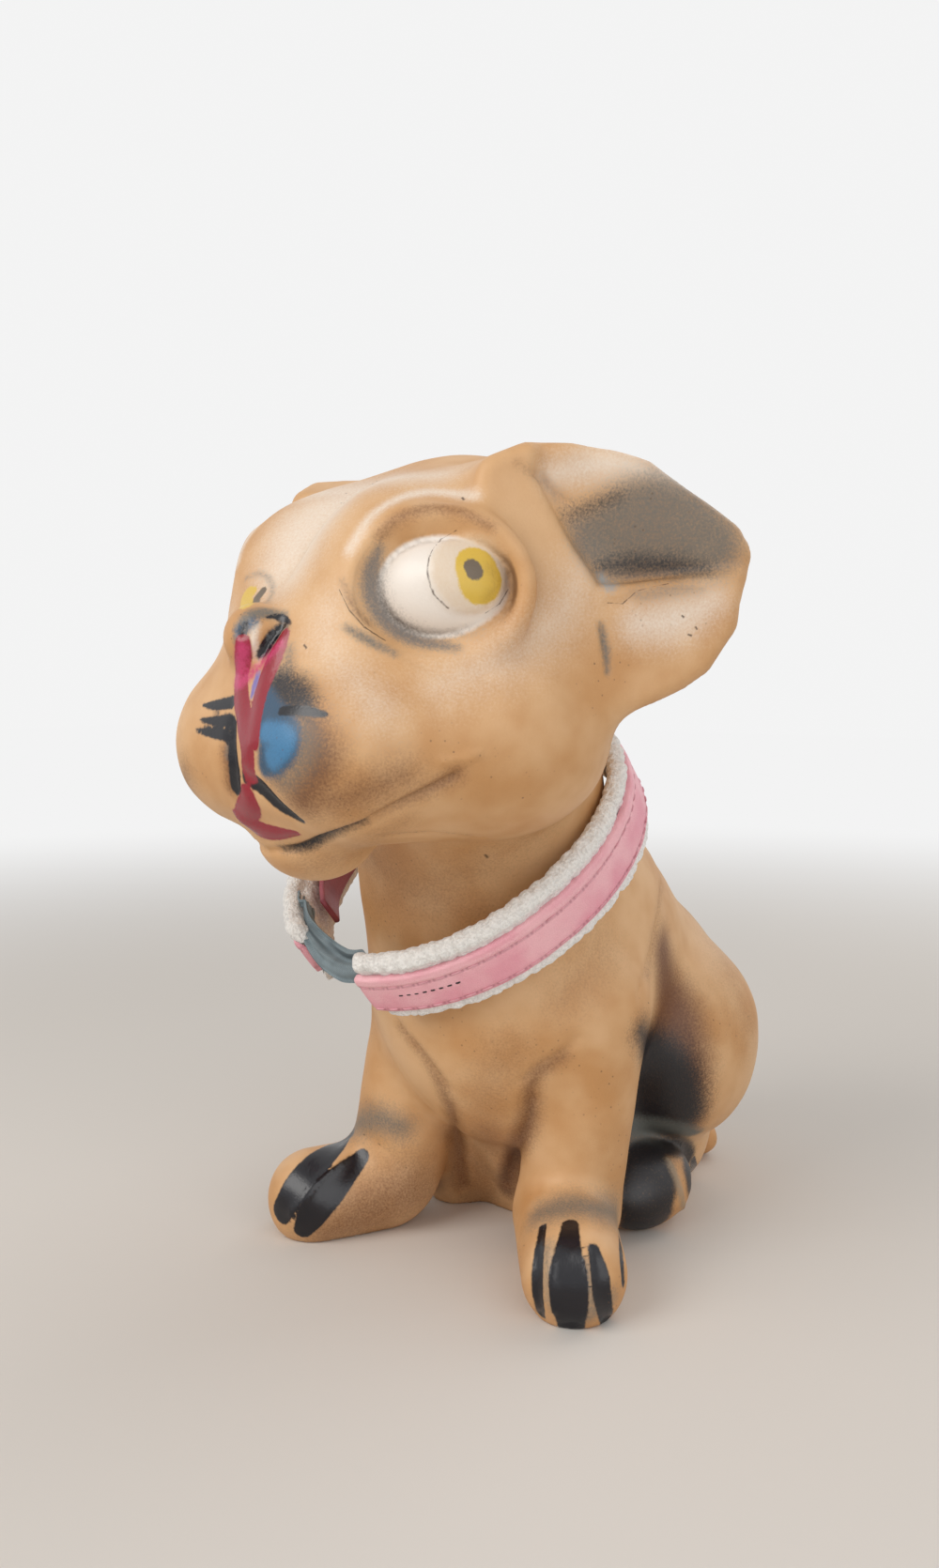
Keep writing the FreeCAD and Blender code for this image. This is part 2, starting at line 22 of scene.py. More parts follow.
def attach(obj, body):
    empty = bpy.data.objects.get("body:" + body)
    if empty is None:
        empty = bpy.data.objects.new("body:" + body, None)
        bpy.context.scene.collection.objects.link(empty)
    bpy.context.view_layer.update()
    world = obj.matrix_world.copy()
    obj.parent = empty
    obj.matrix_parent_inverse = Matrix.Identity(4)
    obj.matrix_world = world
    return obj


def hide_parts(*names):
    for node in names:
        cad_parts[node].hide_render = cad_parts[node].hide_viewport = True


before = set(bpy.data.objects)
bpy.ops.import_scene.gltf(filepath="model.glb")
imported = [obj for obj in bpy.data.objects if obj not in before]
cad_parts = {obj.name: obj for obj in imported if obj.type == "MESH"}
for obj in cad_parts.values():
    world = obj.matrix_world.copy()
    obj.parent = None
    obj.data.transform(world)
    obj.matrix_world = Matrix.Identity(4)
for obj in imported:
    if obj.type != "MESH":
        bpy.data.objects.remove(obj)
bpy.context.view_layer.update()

log = logging.getLogger("puppy")

Object = bpy.types.Object
Material = bpy.types.Material
Tree = bpy.types.NodeTree
Node = bpy.types.Node
Array = np.ndarray
Vec = tuple[float, float, float]
Places = tuple[Vec, ...]
Faces = Array | Sequence[Sequence[int]]
Pair = tuple[float, float]
MM = 0.001
FAR = 60.0
LEAST = 1e-6


def turned(degrees: float) -> Array:
    """Matrix that turns row vectors into a frame yawed by an angle about z.

    Args:
        degrees: angle of the frame, from x towards y.
    """
    angle = math.radians(degrees)
    cos, sin = math.cos(angle), math.sin(angle)
    return np.array([[cos, -sin, 0.0], [sin, cos, 0.0], [0.0, 0.0, 1.0]], np.float32)


def smooth_min(one: Array, other: Array, width: float) -> Array:
    """The lesser of two distances, rounded over a width.

    The share h runs from 0 to 1 as one drops below the other, and the result is their
    mix by h less width * h * (1 - h), which fills the crease between two masses.

    Args:
        one: distances to the first form.
        other: distances to the second form.
        width: reach of the rounding.

    Returns:
        Distances to the joined form.
    """
    share = np.clip(0.5 + 0.5 * (other - one) / width, 0.0, 1.0)
    return other + (one - other) * share - width * share * (1.0 - share)


def smooth_max(one: Array, other: Array, width: float) -> Array:
    """The greater of two distances, rounded over a width: the form both share."""
    return -smooth_min(-one, -other, width)


def smooth_step(value: Array) -> Array:
    """Ease from 0 to 1: 3 t squared less 2 t cubed, with t held within 0 and 1."""
    share = np.clip(value, 0.0, 1.0)
    return share * share * (3.0 - 2.0 * share)


@dataclass(frozen=True)
class LatticeNoise:
    """Repeatable noise on a lattice of random values."""

    seed: int = 5
    size: int = 32

    def table(self) -> Array:
        """Random values on a cube of lattice points."""
        return np.random.default_rng(self.seed).random((self.size,) * 3)

    def smooth(self, points: Array, cell: float) -> Array:
        """Soft noise from -1 to 1, eased between the eight lattice values round a point.

        Args:
            points: places, n by 3.
            cell: distance between lattice points.
        """
        table = self.table()
        scaled = np.asarray(points, float) / cell
        base = np.floor(scaled).astype(int)
        part = smooth_step(scaled - base)
        total = np.zeros(len(scaled))
        for corner in np.ndindex(2, 2, 2):
            index = (base + corner) % self.size
            weight = np.prod(np.where(corner, part, 1.0 - part), axis=1)
            total += weight * table[tuple(index.T)]
        return total * 2.0 - 1.0

    def tufts(self, points: Array, cell: float) -> Array:
        """Round lumps: 1 at scattered centres, falling with the square of distance.

        Args:
            points: places, n by 3.
            cell: average distance between lumps.
        """
        table = self.table()
        scaled = np.asarray(points, float) / cell
        base = np.floor(scaled).astype(int)
        nearest = np.full(len(scaled), FAR)
        for step in np.ndindex(3, 3, 3):
            corner = base + np.array(step) - 1
            index = corner % self.size
            jitter = np.stack([table[tuple(np.roll(index, shift, axis=1).T)] for shift in range(3)], axis=1)
            nearest = np.minimum(nearest, np.square(corner + jitter - scaled).sum(axis=1))
        return np.clip(1.0 - nearest, 0.0, 1.0)


NOISE = LatticeNoise()


# Rounded masses


@dataclass(frozen=True)
class Egg:
    """Rounded mass: an ellipsoid that melts into what it joins over its blend width."""

    centre: Vec
    radii: Vec
    blend: float = 10.0
    turn: float = 0.0

    def distance(self, points: Array) -> Array:
        """Distance to the ellipsoid, near enough.

        With k the length of the place over the radii, and m that of the place over the
        radii squared, the distance is k * (k - 1) / m.
        """
        local = (points - np.float32(self.centre)) @ turned(self.turn)
        radii = np.float32(self.radii)
        reach = np.sqrt(np.square(local / radii).sum(axis=-1))
        slope = np.sqrt(np.square(local / (radii * radii)).sum(axis=-1))
        return reach * (reach - 1.0) / np.maximum(slope, LEAST)


@dataclass(frozen=True)
class Limb:
    """Rounded mass along a line, with a radius that changes from end to end."""

    start: Vec
    end: Vec
    start_radius: float
    end_radius: float
    blend: float = 10.0

    def distance(self, points: Array) -> Array:
        """Distance to the nearest place on the line, less the radius there."""
        start, end = np.float32(self.start), np.float32(self.end)
        run = end - start
        share = np.clip((points - start) @ run / (run @ run), 0.0, 1.0)
        gap = np.linalg.norm(points - start - share[:, None] * run, axis=-1)
        return gap - (self.start_radius + (self.end_radius - self.start_radius) * share)


def joined(points: Array, masses: Sequence[Egg | Limb]) -> Array:
    """Distance to a run of masses, each melted into those before it."""
    whole = masses[0].distance(points)
    for mass in masses[1:]:
        whole = smooth_min(whole, mass.distance(points), mass.blend)
    return whole


def both_sides(points: Array) -> Array:
    """The same places with x taken as positive, so that one mass stands for a pair."""
    return np.stack([np.abs(points[:, 0]), points[:, 1], points[:, 2]], axis=-1)


@dataclass(frozen=True)
class Eye:
    """Large bulging eye in a shallow socket with a raised lid rim, on the head's left."""

    centre: Vec = (38.5, -31.0, 3.0)
    facing: float = 42.0
    ball: Egg = Egg((-0.8, 9.6, 0.1), (17.6, 16.4, 14.5), 1)
    socket: Egg = Egg((0, -6.5, 0.8), (19.5, 8, 16.3), 2)
    rim_radii: Pair = (20.6, 17.4)
    rim_depth: float = 0.6
    rim_thickness: float = 2.2
    rim_blend: float = 6.0

    def local(self, points: Array) -> Array:
        """Places in the eye's own frame, with y pointing back along its axis."""
        return (points - np.float32(self.centre)) @ turned(self.facing)

    def rim(self, local: Array) -> Array:
        """Distance to the lid rim: a thick ellipse round the socket."""
        wide, tall = self.rim_radii
        spread = np.sqrt(np.square(local[:, 0] / wide) + np.square(local[:, 2] / tall))
        across = (spread - 1.0) * (wide + tall) / 2.0
        return np.hypot(across, local[:, 1] - self.rim_depth) - self.rim_thickness

    def carve(self, whole: Array, points: Array) -> Array:
        """Add the rim to the head, sink the socket and set the ball in it."""
        local = self.local(points)
        whole = smooth_min(whole, self.rim(local), self.rim_blend)
        whole = smooth_max(whole, -self.socket.distance(local), self.socket.blend)
        return smooth_min(whole, self.ball.distance(local), self.ball.blend)


@dataclass(frozen=True)
class Ear:
    """Broad pointed ear: an outlined leaf, hollowed on the side that faces forward."""

    root: Vec = (48.0, 8.0, 0.0)
    sweep: Pair = (27.0, 44.0)
    outline: tuple[Pair, ...] = (
        (-23, 29.5), (-16, 32.5), (-5.5, 32.8), (4.5, 31.5), (12.5, 29.5), (19, 25.5), (27, 20.5),
        (34.5, 15.5), (36.5, 12.5), (35.5, 8), (33.5, 1.5), (33, -3.5), (30.5, -7), (27, -12), (22, -15.5),
        (14, -19), (4, -22.5), (-7, -28.5), (-13.5, -34), (-18.5, -30.5), (-24.5, 0.5),
    )
    inset: float = -6.0
    half_thickness: float = 9.0
    thinning: float = 0.10
    least: float = 3.5
    most: float = 12.0
    rounding: float = 3.5
    lean: float = 1.0
    hollow: tuple[Pair, ...] = (
        (-15, 31), (-5, 13), (1, 4), (28, 7.5), (48, 11), (48, 24), (14, 44), (-12, 44),
    )
    hollow_depth: float = 7.0
    hollow_rise: Pair = (0.029, 0.017)
    hollow_foot: float = 5.0
    hollow_most: float = 1.2
    hollow_blend: float = 2.6
    blend: float = 9.0

    def local(self, points: Array) -> Array:
        """Places as distance out along the ear, height, and depth towards the front."""
        along = np.array([*self.sweep, 0.0], np.float32)
        along /= np.linalg.norm(along)
        front = np.array([along[1], -along[0], 0.0], np.float32)
        offset = points - np.float32(self.root)
        return np.stack([offset @ along, offset[:, 2], offset @ front], axis=-1)

    @staticmethod
    def outline_distance(flat: Array, outline: Sequence[Pair]) -> Array:
        """Signed distance to an outline: to its nearest side, negative inside it.

        Args:
            flat: places, n by 2.
            outline: corners in order.
        """
        corners = np.float32(outline)
        nearest = np.full(len(flat), 1e9, np.float32)
        inside = np.ones(len(flat), np.float32)
        for corner, before in zip(corners, np.roll(corners, 1, axis=0)):
            side = before - corner
            offset = flat - corner
            share = np.clip(offset @ side / (side @ side), 0.0, 1.0)
            nearest = np.minimum(nearest, np.square(offset - share[:, None] * side).sum(axis=1))
            above = flat[:, 1] >= corner[1]
            below = flat[:, 1] < before[1]
            left = side[0] * offset[:, 1] > side[1] * offset[:, 0]
            inside[(above & below & left) | (~above & ~below & ~left)] *= -1.0
        return inside * np.sqrt(nearest)

    def distance(self, points: Array) -> Array:
        """Distance to the leaf: the outline and the thickness, met over a rounded edge.

        The hollow is a region of the front face that is cut in by its depth, less a rise
        towards the top and the tip.
        """
        local = self.local(points)
        edge = self.outline_distance(local[:, :2], self.outline) + self.inset
        half = np.clip(self.half_thickness - self.thinning * local[:, 0], self.least, self.most)
        face = np.abs(local[:, 2] + self.lean) - half
        both = np.stack([edge, face], axis=-1) + self.rounding
        outside = np.linalg.norm(np.maximum(both, 0.0), axis=-1)
        leaf = np.minimum(both.max(axis=-1), 0.0) + outside - self.rounding
        up, out = self.hollow_rise
        share = 1.0 - up * (local[:, 1] - self.hollow_foot) - out * local[:, 0]
        sunk = self.hollow_depth * np.clip(share, 0.0, self.hollow_most)
        floor = half - self.lean - sunk - local[:, 2]
        hollow = smooth_max(self.outline_distance(local[:, :2], self.hollow), floor, self.hollow_blend)
        return smooth_max(leaf, -hollow, self.hollow_blend)


@dataclass(frozen=True)
class Head:
    """Big round head, turned a little to its right on the neck."""

    place: Vec = (2.0, -70.0, 190.0)
    turn: float = -17.0
    cranium: Egg = Egg((0, 8, -4), (50, 46, 46))
    face: Egg = Egg((0, -29.5, -18), (37, 33, 27), 10)
    muzzle: Egg = Egg((0, -42.5, -38), (24, 24, 22), 10)
    chin: Egg = Egg((0, -41, -56.5), (16, 15.5, 13.5), 5)
    nose: Egg = Egg((0.5, -58, -8), (8.6, 8, 8.6), 3)
    brow: Egg = Egg((18, -23, 4.5), (26, 26.5, 26), 14)
    jowl: Egg = Egg((19, -40.5, -35), (27, 26.5, 24), 7)
    cheek: Egg = Egg((33, -9.5, -32), (26, 30.5, 24), 14)
    jaw: Egg = Egg((18, -3, -40.5), (27, 32, 17), 14)
    eye: Eye = Eye()
    ear: Ear = Ear()

    def local(self, points: Array) -> Array:
        """Places in the head's own frame."""
        return (points - np.float32(self.place)) @ turned(self.turn)

    def outward(self, local: Array) -> Array:
        """Places in the head's frame, taken back to the row frame."""
        return local @ turned(self.turn).T + np.array(self.place)

    def mirrored(self, points: Array) -> Array:
        """The same places on the other side of the head."""
        return self.outward(self.local(points) * np.array([-1.0, 1.0, 1.0]))

    def distance(self, points: Array) -> Array:
        """Distance to the head, eyes and ears included."""
        local = self.local(points)
        paired = both_sides(local)
        whole = joined(local, (self.cranium, self.face, self.muzzle, self.chin))
        for mass in (self.brow, self.jowl, self.cheek, self.jaw):
            whole = smooth_min(whole, mass.distance(paired), mass.blend)
        whole = smooth_min(whole, self.nose.distance(local), self.nose.blend)
        whole = self.eye.carve(whole, paired)
        return smooth_min(whole, self.ear.distance(paired), self.ear.blend)


@dataclass(frozen=True)
class Body:
    """Seated body: neck, chest, back, rump, legs, paws, haunches and curled tail."""

    neck: Limb = Limb((-1, -30, 85), (-3, -52, 152), 41.5, 34.5)
    chest: Egg = Egg((1, -27, 74), (39, 42, 45))
    back: Limb = Limb((0, -10, 95), (0, 24, 62), 40, 42, 12)
    rump: Egg = Egg((0, 32, 50), (46, 40, 50))
    seat: Egg = Egg((0, 32, 14.3), (37, 36, 24), 8)
    throat: Egg = Egg((0, -52, 146), (36, 32, 20), 12)
    nape: Egg = Egg((6, -54, 136), (32, 33, 24), 6)
    belly: Egg = Egg((0, 0, 25), (30, 22, 40))
    bib: Egg = Egg((-4, -12, 44), (15, 26, 36), 9)
    web: Egg = Egg((-9, 0, 14), (24, 19, 24), 6)
    far_web: Limb = Limb((-14, -24, 42), (-28.5, -15.5, 5), 12.5, 9.5, 7)
    tail: Egg = Egg((11, 68.6, 6.8), (22, 8.5, 9.5), 5, -25)
    left_leg: Limb = Limb((27, -34, 75), (24.5, -34.5, 16), 20, 14.5, 6)
    left_paw: Limb = Limb((25, -40, 14), (42, -65, 10.5), 15, 14.5, 5)
    right_leg: Limb = Limb((-23.5, -35, 75), (-35, -41, 18), 18.5, 14.8, 6)
    right_paw: Limb = Limb((-37, -46, 13), (-51, -62, 10.5), 14.5, 14.8, 6)
    haunch: Egg = Egg((34, 25, 53), (23, 31, 32), 6)
    hind_foot: Egg = Egg((30, 0, 12), (16, 21, 13.5), 4)

    def distance(self, points: Array) -> Array:
        """Distance to the body, open below its base plane."""
        single = (
            self.neck, self.chest, self.back, self.rump, self.seat, self.left_leg, self.right_leg,
            self.left_paw, self.right_paw, self.belly, self.bib, self.web, self.far_web, self.tail,
            self.throat, self.nape,
        )
        whole = joined(points, single)
        paired = both_sides(points)
        for mass in (self.haunch, self.hind_foot):
            whole = smooth_min(whole, mass.distance(paired), mass.blend)
        return whole

    @staticmethod
    def mirrored(points: Array) -> Array:
        """The same places on the other side of the body."""
        return points * np.array([-1.0, 1.0, 1.0])


@dataclass(frozen=True)
class Sculpture:
    """The whole plaster form, cut flat at its base and open at the drain hole."""

    head: Head = Head()
    body: Body = Body()
    join: float = 7.0
    head_floor: float = 104.0
    body_top: float = 185.0
    drain: Limb = Limb((0, 32, -12), (0, 32, 26), 13, 13)
    hollow: Egg = Egg((0, 32, 46), (30, 27, 30), 3)
    drain_edge: float = 1.0

    def distance(self, points: Array) -> Array:
        """Distance to the plaster, negative inside it."""
        points = np.asarray(points, np.float32)
        whole = np.full(len(points), FAR, np.float32)
        low = points[:, 2] < self.body_top
        whole[low] = self.body.distance(points[low])
        high = points[:, 2] > self.head_floor
        whole[high] = smooth_min(whole[high], self.head.distance(points[high]), self.join)
        inside = smooth_min(self.drain.distance(points), self.hollow.distance(points), self.hollow.blend)
        whole = smooth_max(whole, -inside, self.drain_edge)
        return np.maximum(whole, -points[:, 2])

    def normals(self, points: Array, step: float = 0.3) -> Array:
        """Outward direction: the change of the distance over a step along x, y and z."""
        slope = np.empty((len(points), 3))
        for axis in range(3):
            offset = np.zeros(3, np.float32)
            offset[axis] = step
            slope[:, axis] = self.distance(points + offset) - self.distance(points - offset)
        return slope / np.maximum(np.linalg.norm(slope, axis=1, keepdims=True), LEAST)


# Surface of a distance field


@dataclass(frozen=True)
class Lattice:
    """Grid lines that are closer together where the form has more detail."""

    x_span: Pair = (-72.0, 92.0)
    x_step: float = 1.35
    y_span: Pair = (-146.0, 88.0)
    y_steps: Pair = (1.25, 1.8)
    y_change: float = -8.0
    z_span: Pair = (-0.7, 238.0)
    z_steps: Vec = (1.35, 1.8, 1.2)
    z_changes: Pair = (30.0, 112.0)

    def lines(self) -> tuple[Array, Array, Array]:
        """Grid lines along x, y and z."""
        across = np.arange(*self.x_span, self.x_step)
        front = np.arange(self.y_span[0], self.y_change, self.y_steps[0])
        back = np.arange(front[-1] + self.y_steps[1], self.y_span[1], self.y_steps[1])
        low = np.arange(self.z_span[0], self.z_changes[0], self.z_steps[0])
        middle = np.arange(low[-1] + self.z_steps[1], self.z_changes[1], self.z_steps[1])
        high = np.arange(middle[-1] + self.z_steps[2], self.z_span[1], self.z_steps[2])
        return across, np.concatenate([front, back]), np.concatenate([low, middle, high])


@dataclass(frozen=True)
class Skin:
    """Mesh of the surface where a distance field is zero."""

    distance: Callable[[Array], Array]
    lattice: Lattice = Lattice()
    block: int = 4
    safety: float = 1.9

    def sampled(self, lines: tuple[Array, Array, Array]) -> Array:
        """The field on the grid, worked out only in blocks that may hold the surface.

        A block is looked at where the distance at its middle is less than its half
        diagonal times the safety factor; elsewhere only the sign is kept.
        """
        counts = [len(axis) for axis in lines]
        starts = [np.arange(0, count - 1, self.block) for count in counts]
        ends = [np.minimum(start + self.block, count - 1) for start, count in zip(starts, counts)]
        middles = [(axis[s] + axis[e]) / 2 for axis, s, e in zip(lines, starts, ends)]
        halves = [(axis[e] - axis[s]) / 2 for axis, s, e in zip(lines, starts, ends)]
        centres = np.stack(np.meshgrid(*middles, indexing="ij"), axis=-1)
        reach = np.linalg.norm(np.stack(np.meshgrid(*halves, indexing="ij"), axis=-1), axis=-1)
        coarse = self.distance(centres.reshape(-1, 3)).reshape(reach.shape)
        active = np.abs(coarse) < reach * self.safety
        last = [len(start) - 1 for start in starts]
        nodes = [np.minimum(np.arange(count) // self.block, most) for count, most in zip(counts, last)]
        lower = [np.maximum(np.arange(count) - 1, 0) // self.block for count in counts]
        needed = np.zeros(counts, bool)
        for choice in np.ndindex(2, 2, 2):
            index = [nodes[axis] if pick else lower[axis] for axis, pick in enumerate(choice)]
            needed |= active[np.ix_(*index)]
        values = np.where(coarse < 0, -FAR, FAR)[np.ix_(*nodes)].astype(np.float32)
        places = np.argwhere(needed)
        points = np.stack([axis[place] for axis, place in zip(lines, places.T)], axis=-1)
        values[tuple(places.T)] = self.distance(points)
        return values

    def build(self) -> tuple[Array, Array]:
        """Vertices and four-sided faces of the surface, by surface nets.

        Each grid cell that the surface passes through gets one vertex, the mean of the
        places where the surface cuts the cell's edges. Each cut edge of the grid gets one
        face, through the vertices of the four cells round it.

        Returns:
            Vertices, n by 3, and faces, m by 4, that look outwards.
        """
        lines = self.lattice.lines()
        values = self.sampled(lines)
        solid = values < 0
        counts = np.array(values.shape)
        inner = np.zeros(counts - 1, int)
        for corner in np.ndindex(2, 2, 2):
            inner += solid[tuple(slice(c, n - 1 + c) for c, n in zip(corner, counts))]
        cells = np.argwhere((inner > 0) & (inner < 8))
        index = -np.ones(counts - 1, int)
        index[tuple(cells.T)] = np.arange(len(cells))
        total = np.zeros((len(cells), 3))
        hits = np.zeros(len(cells))
        for axis in range(3):
            for other in np.ndindex(2, 2):
                start = np.insert(np.array(other), axis, 0)
                end = np.insert(np.array(other), axis, 1)
                one = values[tuple((cells + start).T)]
                two = values[tuple((cells + end).T)]
                cut = (one < 0) != (two < 0)
                share = np.where(cut, one / np.where(cut, one - two, 1.0), 0.0)
                first = np.stack([lines[i][cells[:, i] + start[i]] for i in range(3)], axis=-1)
                last = np.stack([lines[i][cells[:, i] + end[i]] for i in range(3)], axis=-1)
                total += np.where(cut[:, None], first + (last - first) * share[:, None], 0.0)
                hits += cut
        vertices = total / hits[:, None]
        faces = [self.faces_along(axis, solid, index, counts) for axis in range(3)]
        return vertices, np.concatenate(faces)

    @staticmethod
    def faces_along(axis: int, solid: Array, index: Array, counts: Array) -> Array:
        """Faces across the cut grid edges that run along one axis."""
        unit = np.eye(3, dtype=int)
        step, one, two = unit[axis], unit[(axis + 1) % 3], unit[(axis + 2) % 3]
        near = solid[tuple(slice(0, counts[i] - step[i]) for i in range(3))]
        far = solid[tuple(slice(step[i], counts[i]) for i in range(3))]
        edges = np.argwhere(near != far)
        inward = near[tuple(edges.T)]
        room = (edges @ one > 0) & (edges @ two > 0)
        room &= (edges @ one < counts[(axis + 1) % 3] - 1) & (edges @ two < counts[(axis + 2) % 3] - 1)
        edges, inward = edges[room], inward[room]
        corners = (edges - one - two, edges - two, edges, edges - one)
        faces = np.stack([index[tuple(corner.T)] for corner in corners], axis=-1)
        faces[~inward] = faces[~inward][:, ::-1]
        return faces


# Photograph's camera and strokes that are laid on the surface


@dataclass(frozen=True)
class PhotoCamera:
    """Camera at the photograph's angle, which also carries its pixels to the surface."""

    target: Vec = (5.0, -60.0, 142.0)
    azimuth: float = 33.0
    elevation: float = 5.0
    distance: float = 370.0
    focal_pixels: float = 1400.0
    image_width: int = 1000
    image_height: int = 1670
    sensor: float = 36.0
    near_step: float = 0.8
    back_step: float = 2.0
    first_share: float = 0.5
    march_steps: int = 90
    clip_start: float = 0.01

    def axes(self) -> tuple[Array, Array, Array]:
        """Directions to the right, up and towards the camera."""
        turn, lift = math.radians(self.azimuth), math.radians(self.elevation)
        level = math.cos(lift)
        towards = np.array([math.sin(turn) * level, -math.cos(turn) * level, math.sin(lift)])
        right = np.array([math.cos(turn), math.sin(turn), 0.0])
        return right, np.cross(towards, right), towards

    def position(self) -> Array:
        """Where the camera stands."""
        return np.array(self.target) + self.distance * self.axes()[2]

    def rays(self, pixels: Array) -> Array:
        """Unit directions into the scene through the given pixels, n by 2."""
        right, up, towards = self.axes()
        aside = (pixels[:, :1] - self.image_width / 2) / self.focal_pixels
        above = (self.image_height / 2 - pixels[:, 1:]) / self.focal_pixels
        run = aside * right + above * up - towards
        return run / np.linalg.norm(run, axis=1, keepdims=True)

    def lay(self, pixels: Array, form: Callable[[Array], Array]) -> tuple[Array, Array]:
        """Places on a form that the pixels show, by walking along each ray.

        Every step goes on by a share of the distance that is left, and a ray that
        misses stays at the place where it came nearest.

        Args:
            pixels: places in the photograph, n by 2.
            form: distance to the form.

        Returns:
            Places on the form, and the millimetres that one pixel covers there.
        """
        run = self.rays(pixels)
        start = self.position()
        along = np.full(len(pixels), self.distance * self.first_share)
        best = along.copy()
        least = np.full(len(pixels), np.inf)
        for _ in range(self.march_steps):
            gap = form(start + along[:, None] * run).astype(float)
            closer = gap < least
            best[closer], least[closer] = along[closer], gap[closer]
            along += np.clip(gap, -self.back_step, FAR) * self.near_step
        return start + best[:, None] * run, best / self.focal_pixels

    def make(self) -> Object:
        """Blender camera with the same view, its long side spanning the sensor."""
        data = bpy.data.cameras.new("camera")
        data.sensor_width = self.sensor
        data.lens = self.focal_pixels / self.image_height * self.sensor
        data.clip_start = self.clip_start
        camera = bpy.data.objects.new("camera", data)
        right, up, towards = self.axes()
        turn = Matrix([[*row] for row in np.stack([right, up, towards], axis=-1)]).to_4x4()
        camera.matrix_world = Matrix.Translation(self.position() * MM) @ turn
        bpy.context.scene.collection.objects.link(camera)
        bpy.context.scene.camera = camera
        return camera


class Coat(Enum):
    """Coats of paint, each named as the number that the mesh keeps for it."""

    # GLOW is painted highlight on the brow, forehead, cheeks, muzzle, nose and ears.
    GLOW = "glow"
    # BROWN_SHADE, kept in the mesh as warm: brown spray, partly the figure's own airbrush and partly painted
    # shade under the jaw, on the neck and chest, and down the side.
    BROWN_SHADE = "warm"
    GREY = "grey"
    DARK = "dark"
    BAND = "band"
    RIDGE = "ridge"
    BLUE = "blue"
    BRIGHT = "bright"
    PALE = "pale"
    WHITE = "white"
    TINT = "tint"
    LID = "lid"
    IRIS = "iris"
    AMBER = "amber"
    PUPIL = "pupil"
    BLACK = "black"
    RED = "red"
    PINK = "pink"
    LILAC = "lilac"


class Sides(Enum):
    """Which sides of the figure carry a stroke."""

    SEEN = "seen"
    HEAD_PAIR = "head pair"
    BODY_PAIR = "body pair"


@dataclass(frozen=True)
class Stroke:
    """Line on the surface, by photograph pixels: x, y and width of each place.

    A stroke without a coat is carved or raised alone. Depth is positive for a groove.
    """

    places: Places
    coat: Coat | None = None
    sides: Sides = Sides.SEEN
    soft: float = 0.0
    strength: float = 1.0
    depth: float = 0.0

    def smoothed(self, steps: int = 4) -> Array:
        """Places along a curve through the given ones, by Catmull and Rom's formula."""
        points = np.array(self.places, float)
        if len(points) < 3:
            share = np.linspace(0.0, 1.0, steps + 1)[:, None]
            return points[0] + (points[-1] - points[0]) * share
        padded = np.concatenate([2 * points[:1] - points[1:2], points, 2 * points[-1:] - points[-2:-1]])
        share = np.linspace(0.0, 1.0, steps, endpoint=False)[:, None, None]
        zero, one, two, three = (padded[i:len(padded) - 3 + i][None] for i in range(4))
        curve = 0.5 * (
            2 * one + (two - zero) * share
            + (2 * zero - 5 * one + 4 * two - three) * share ** 2
            + (3 * one - zero - 3 * two + three) * share ** 3
        )
        return np.concatenate([curve.transpose(1, 0, 2).reshape(-1, 3), points[-1:]])


@dataclass(frozen=True)
class LaidStroke:
    """Stroke on the surface in millimetres: a line and its half width along it."""

    line: Array
    half: Array

    def reach(self, points: Array, margin: float = 14.0) -> Array:
        """How far inside the stroke each place lies: half width less distance to the line."""
        best = np.full(len(points), -FAR)
        widest = float(self.half.max()) + margin
        low, high = self.line.min(axis=0) - widest, self.line.max(axis=0) + widest
        near = np.all((points > low) & (points < high), axis=1)
        some = points[near]
        inside = np.full(len(some), -FAR)
        for start, end, first, last in zip(self.line, self.line[1:], self.half, self.half[1:]):
            run = end - start
            share = np.clip((some - start) @ run / max(run @ run, 1e-9), 0.0, 1.0)
            gap = np.linalg.norm(some - start - share[:, None] * run, axis=1)
            inside = np.maximum(inside, first + (last - first) * share - gap)
        best[near] = inside
        return best


Laid = dict[Stroke, list[LaidStroke]]


@dataclass(frozen=True)
class Layer:
    """Look of a coat: colour and roughness, and an edge that the wobble makes ragged.

    A coat without an edge is sprayed. The coats are listed from the lowest up.
    """

    coat: Coat
    colour: str
    roughness: float = 0.5
    wobble: float = 0.8
    edge: float = 0.0

    @property
    def misty(self) -> bool:
        """Whether the coat is sprayed, with no drawn edge."""
        return self.edge == 0.0


LAYERS = (
    Layer(Coat.GLOW, "#ecdfd0", 0.5, 0.5),
    Layer(Coat.BROWN_SHADE, "#6b4227", 0.5, 0.7),
    Layer(Coat.GREY, "#706a61"),
    Layer(Coat.DARK, "#1b181b", 0.4, 0.9),
    Layer(Coat.BAND, "#5f625e", 0.5, 0.9),
    Layer(Coat.RIDGE, "#a08a70", 0.5, 0.9),
    Layer(Coat.BLUE, "#2d4c66", 0.35, 0.7),
    Layer(Coat.BRIGHT, "#437ca6", 0.35, 0.7),
    Layer(Coat.PALE, "#9aa3a8", 0.5, 0.7),
    Layer(Coat.WHITE, "#ece3d9", 0.38, 0.5, 0.6),
    Layer(Coat.TINT, "#dcc3a4", 0.36, 0.4),
    Layer(Coat.LID, "#7b746e", 0.5, 0.9),
    Layer(Coat.IRIS, "#dab544", 0.3, 1.2, 0.4),
    Layer(Coat.AMBER, "#a9812c", 0.3, 0.5),
    Layer(Coat.PUPIL, "#6b5c4a", 0.35, 0.8, 0.3),
    Layer(Coat.BLACK, "#131219", 0.22, 0.8, 0.35),
    Layer(Coat.RED, "#92182a", 0.24, 0.8, 0.35),
    Layer(Coat.PINK, "#c53a6c", 0.24, 0.7),
    Layer(Coat.LILAC, "#7d6fb0", 0.3, 0.8, 0.5),
)


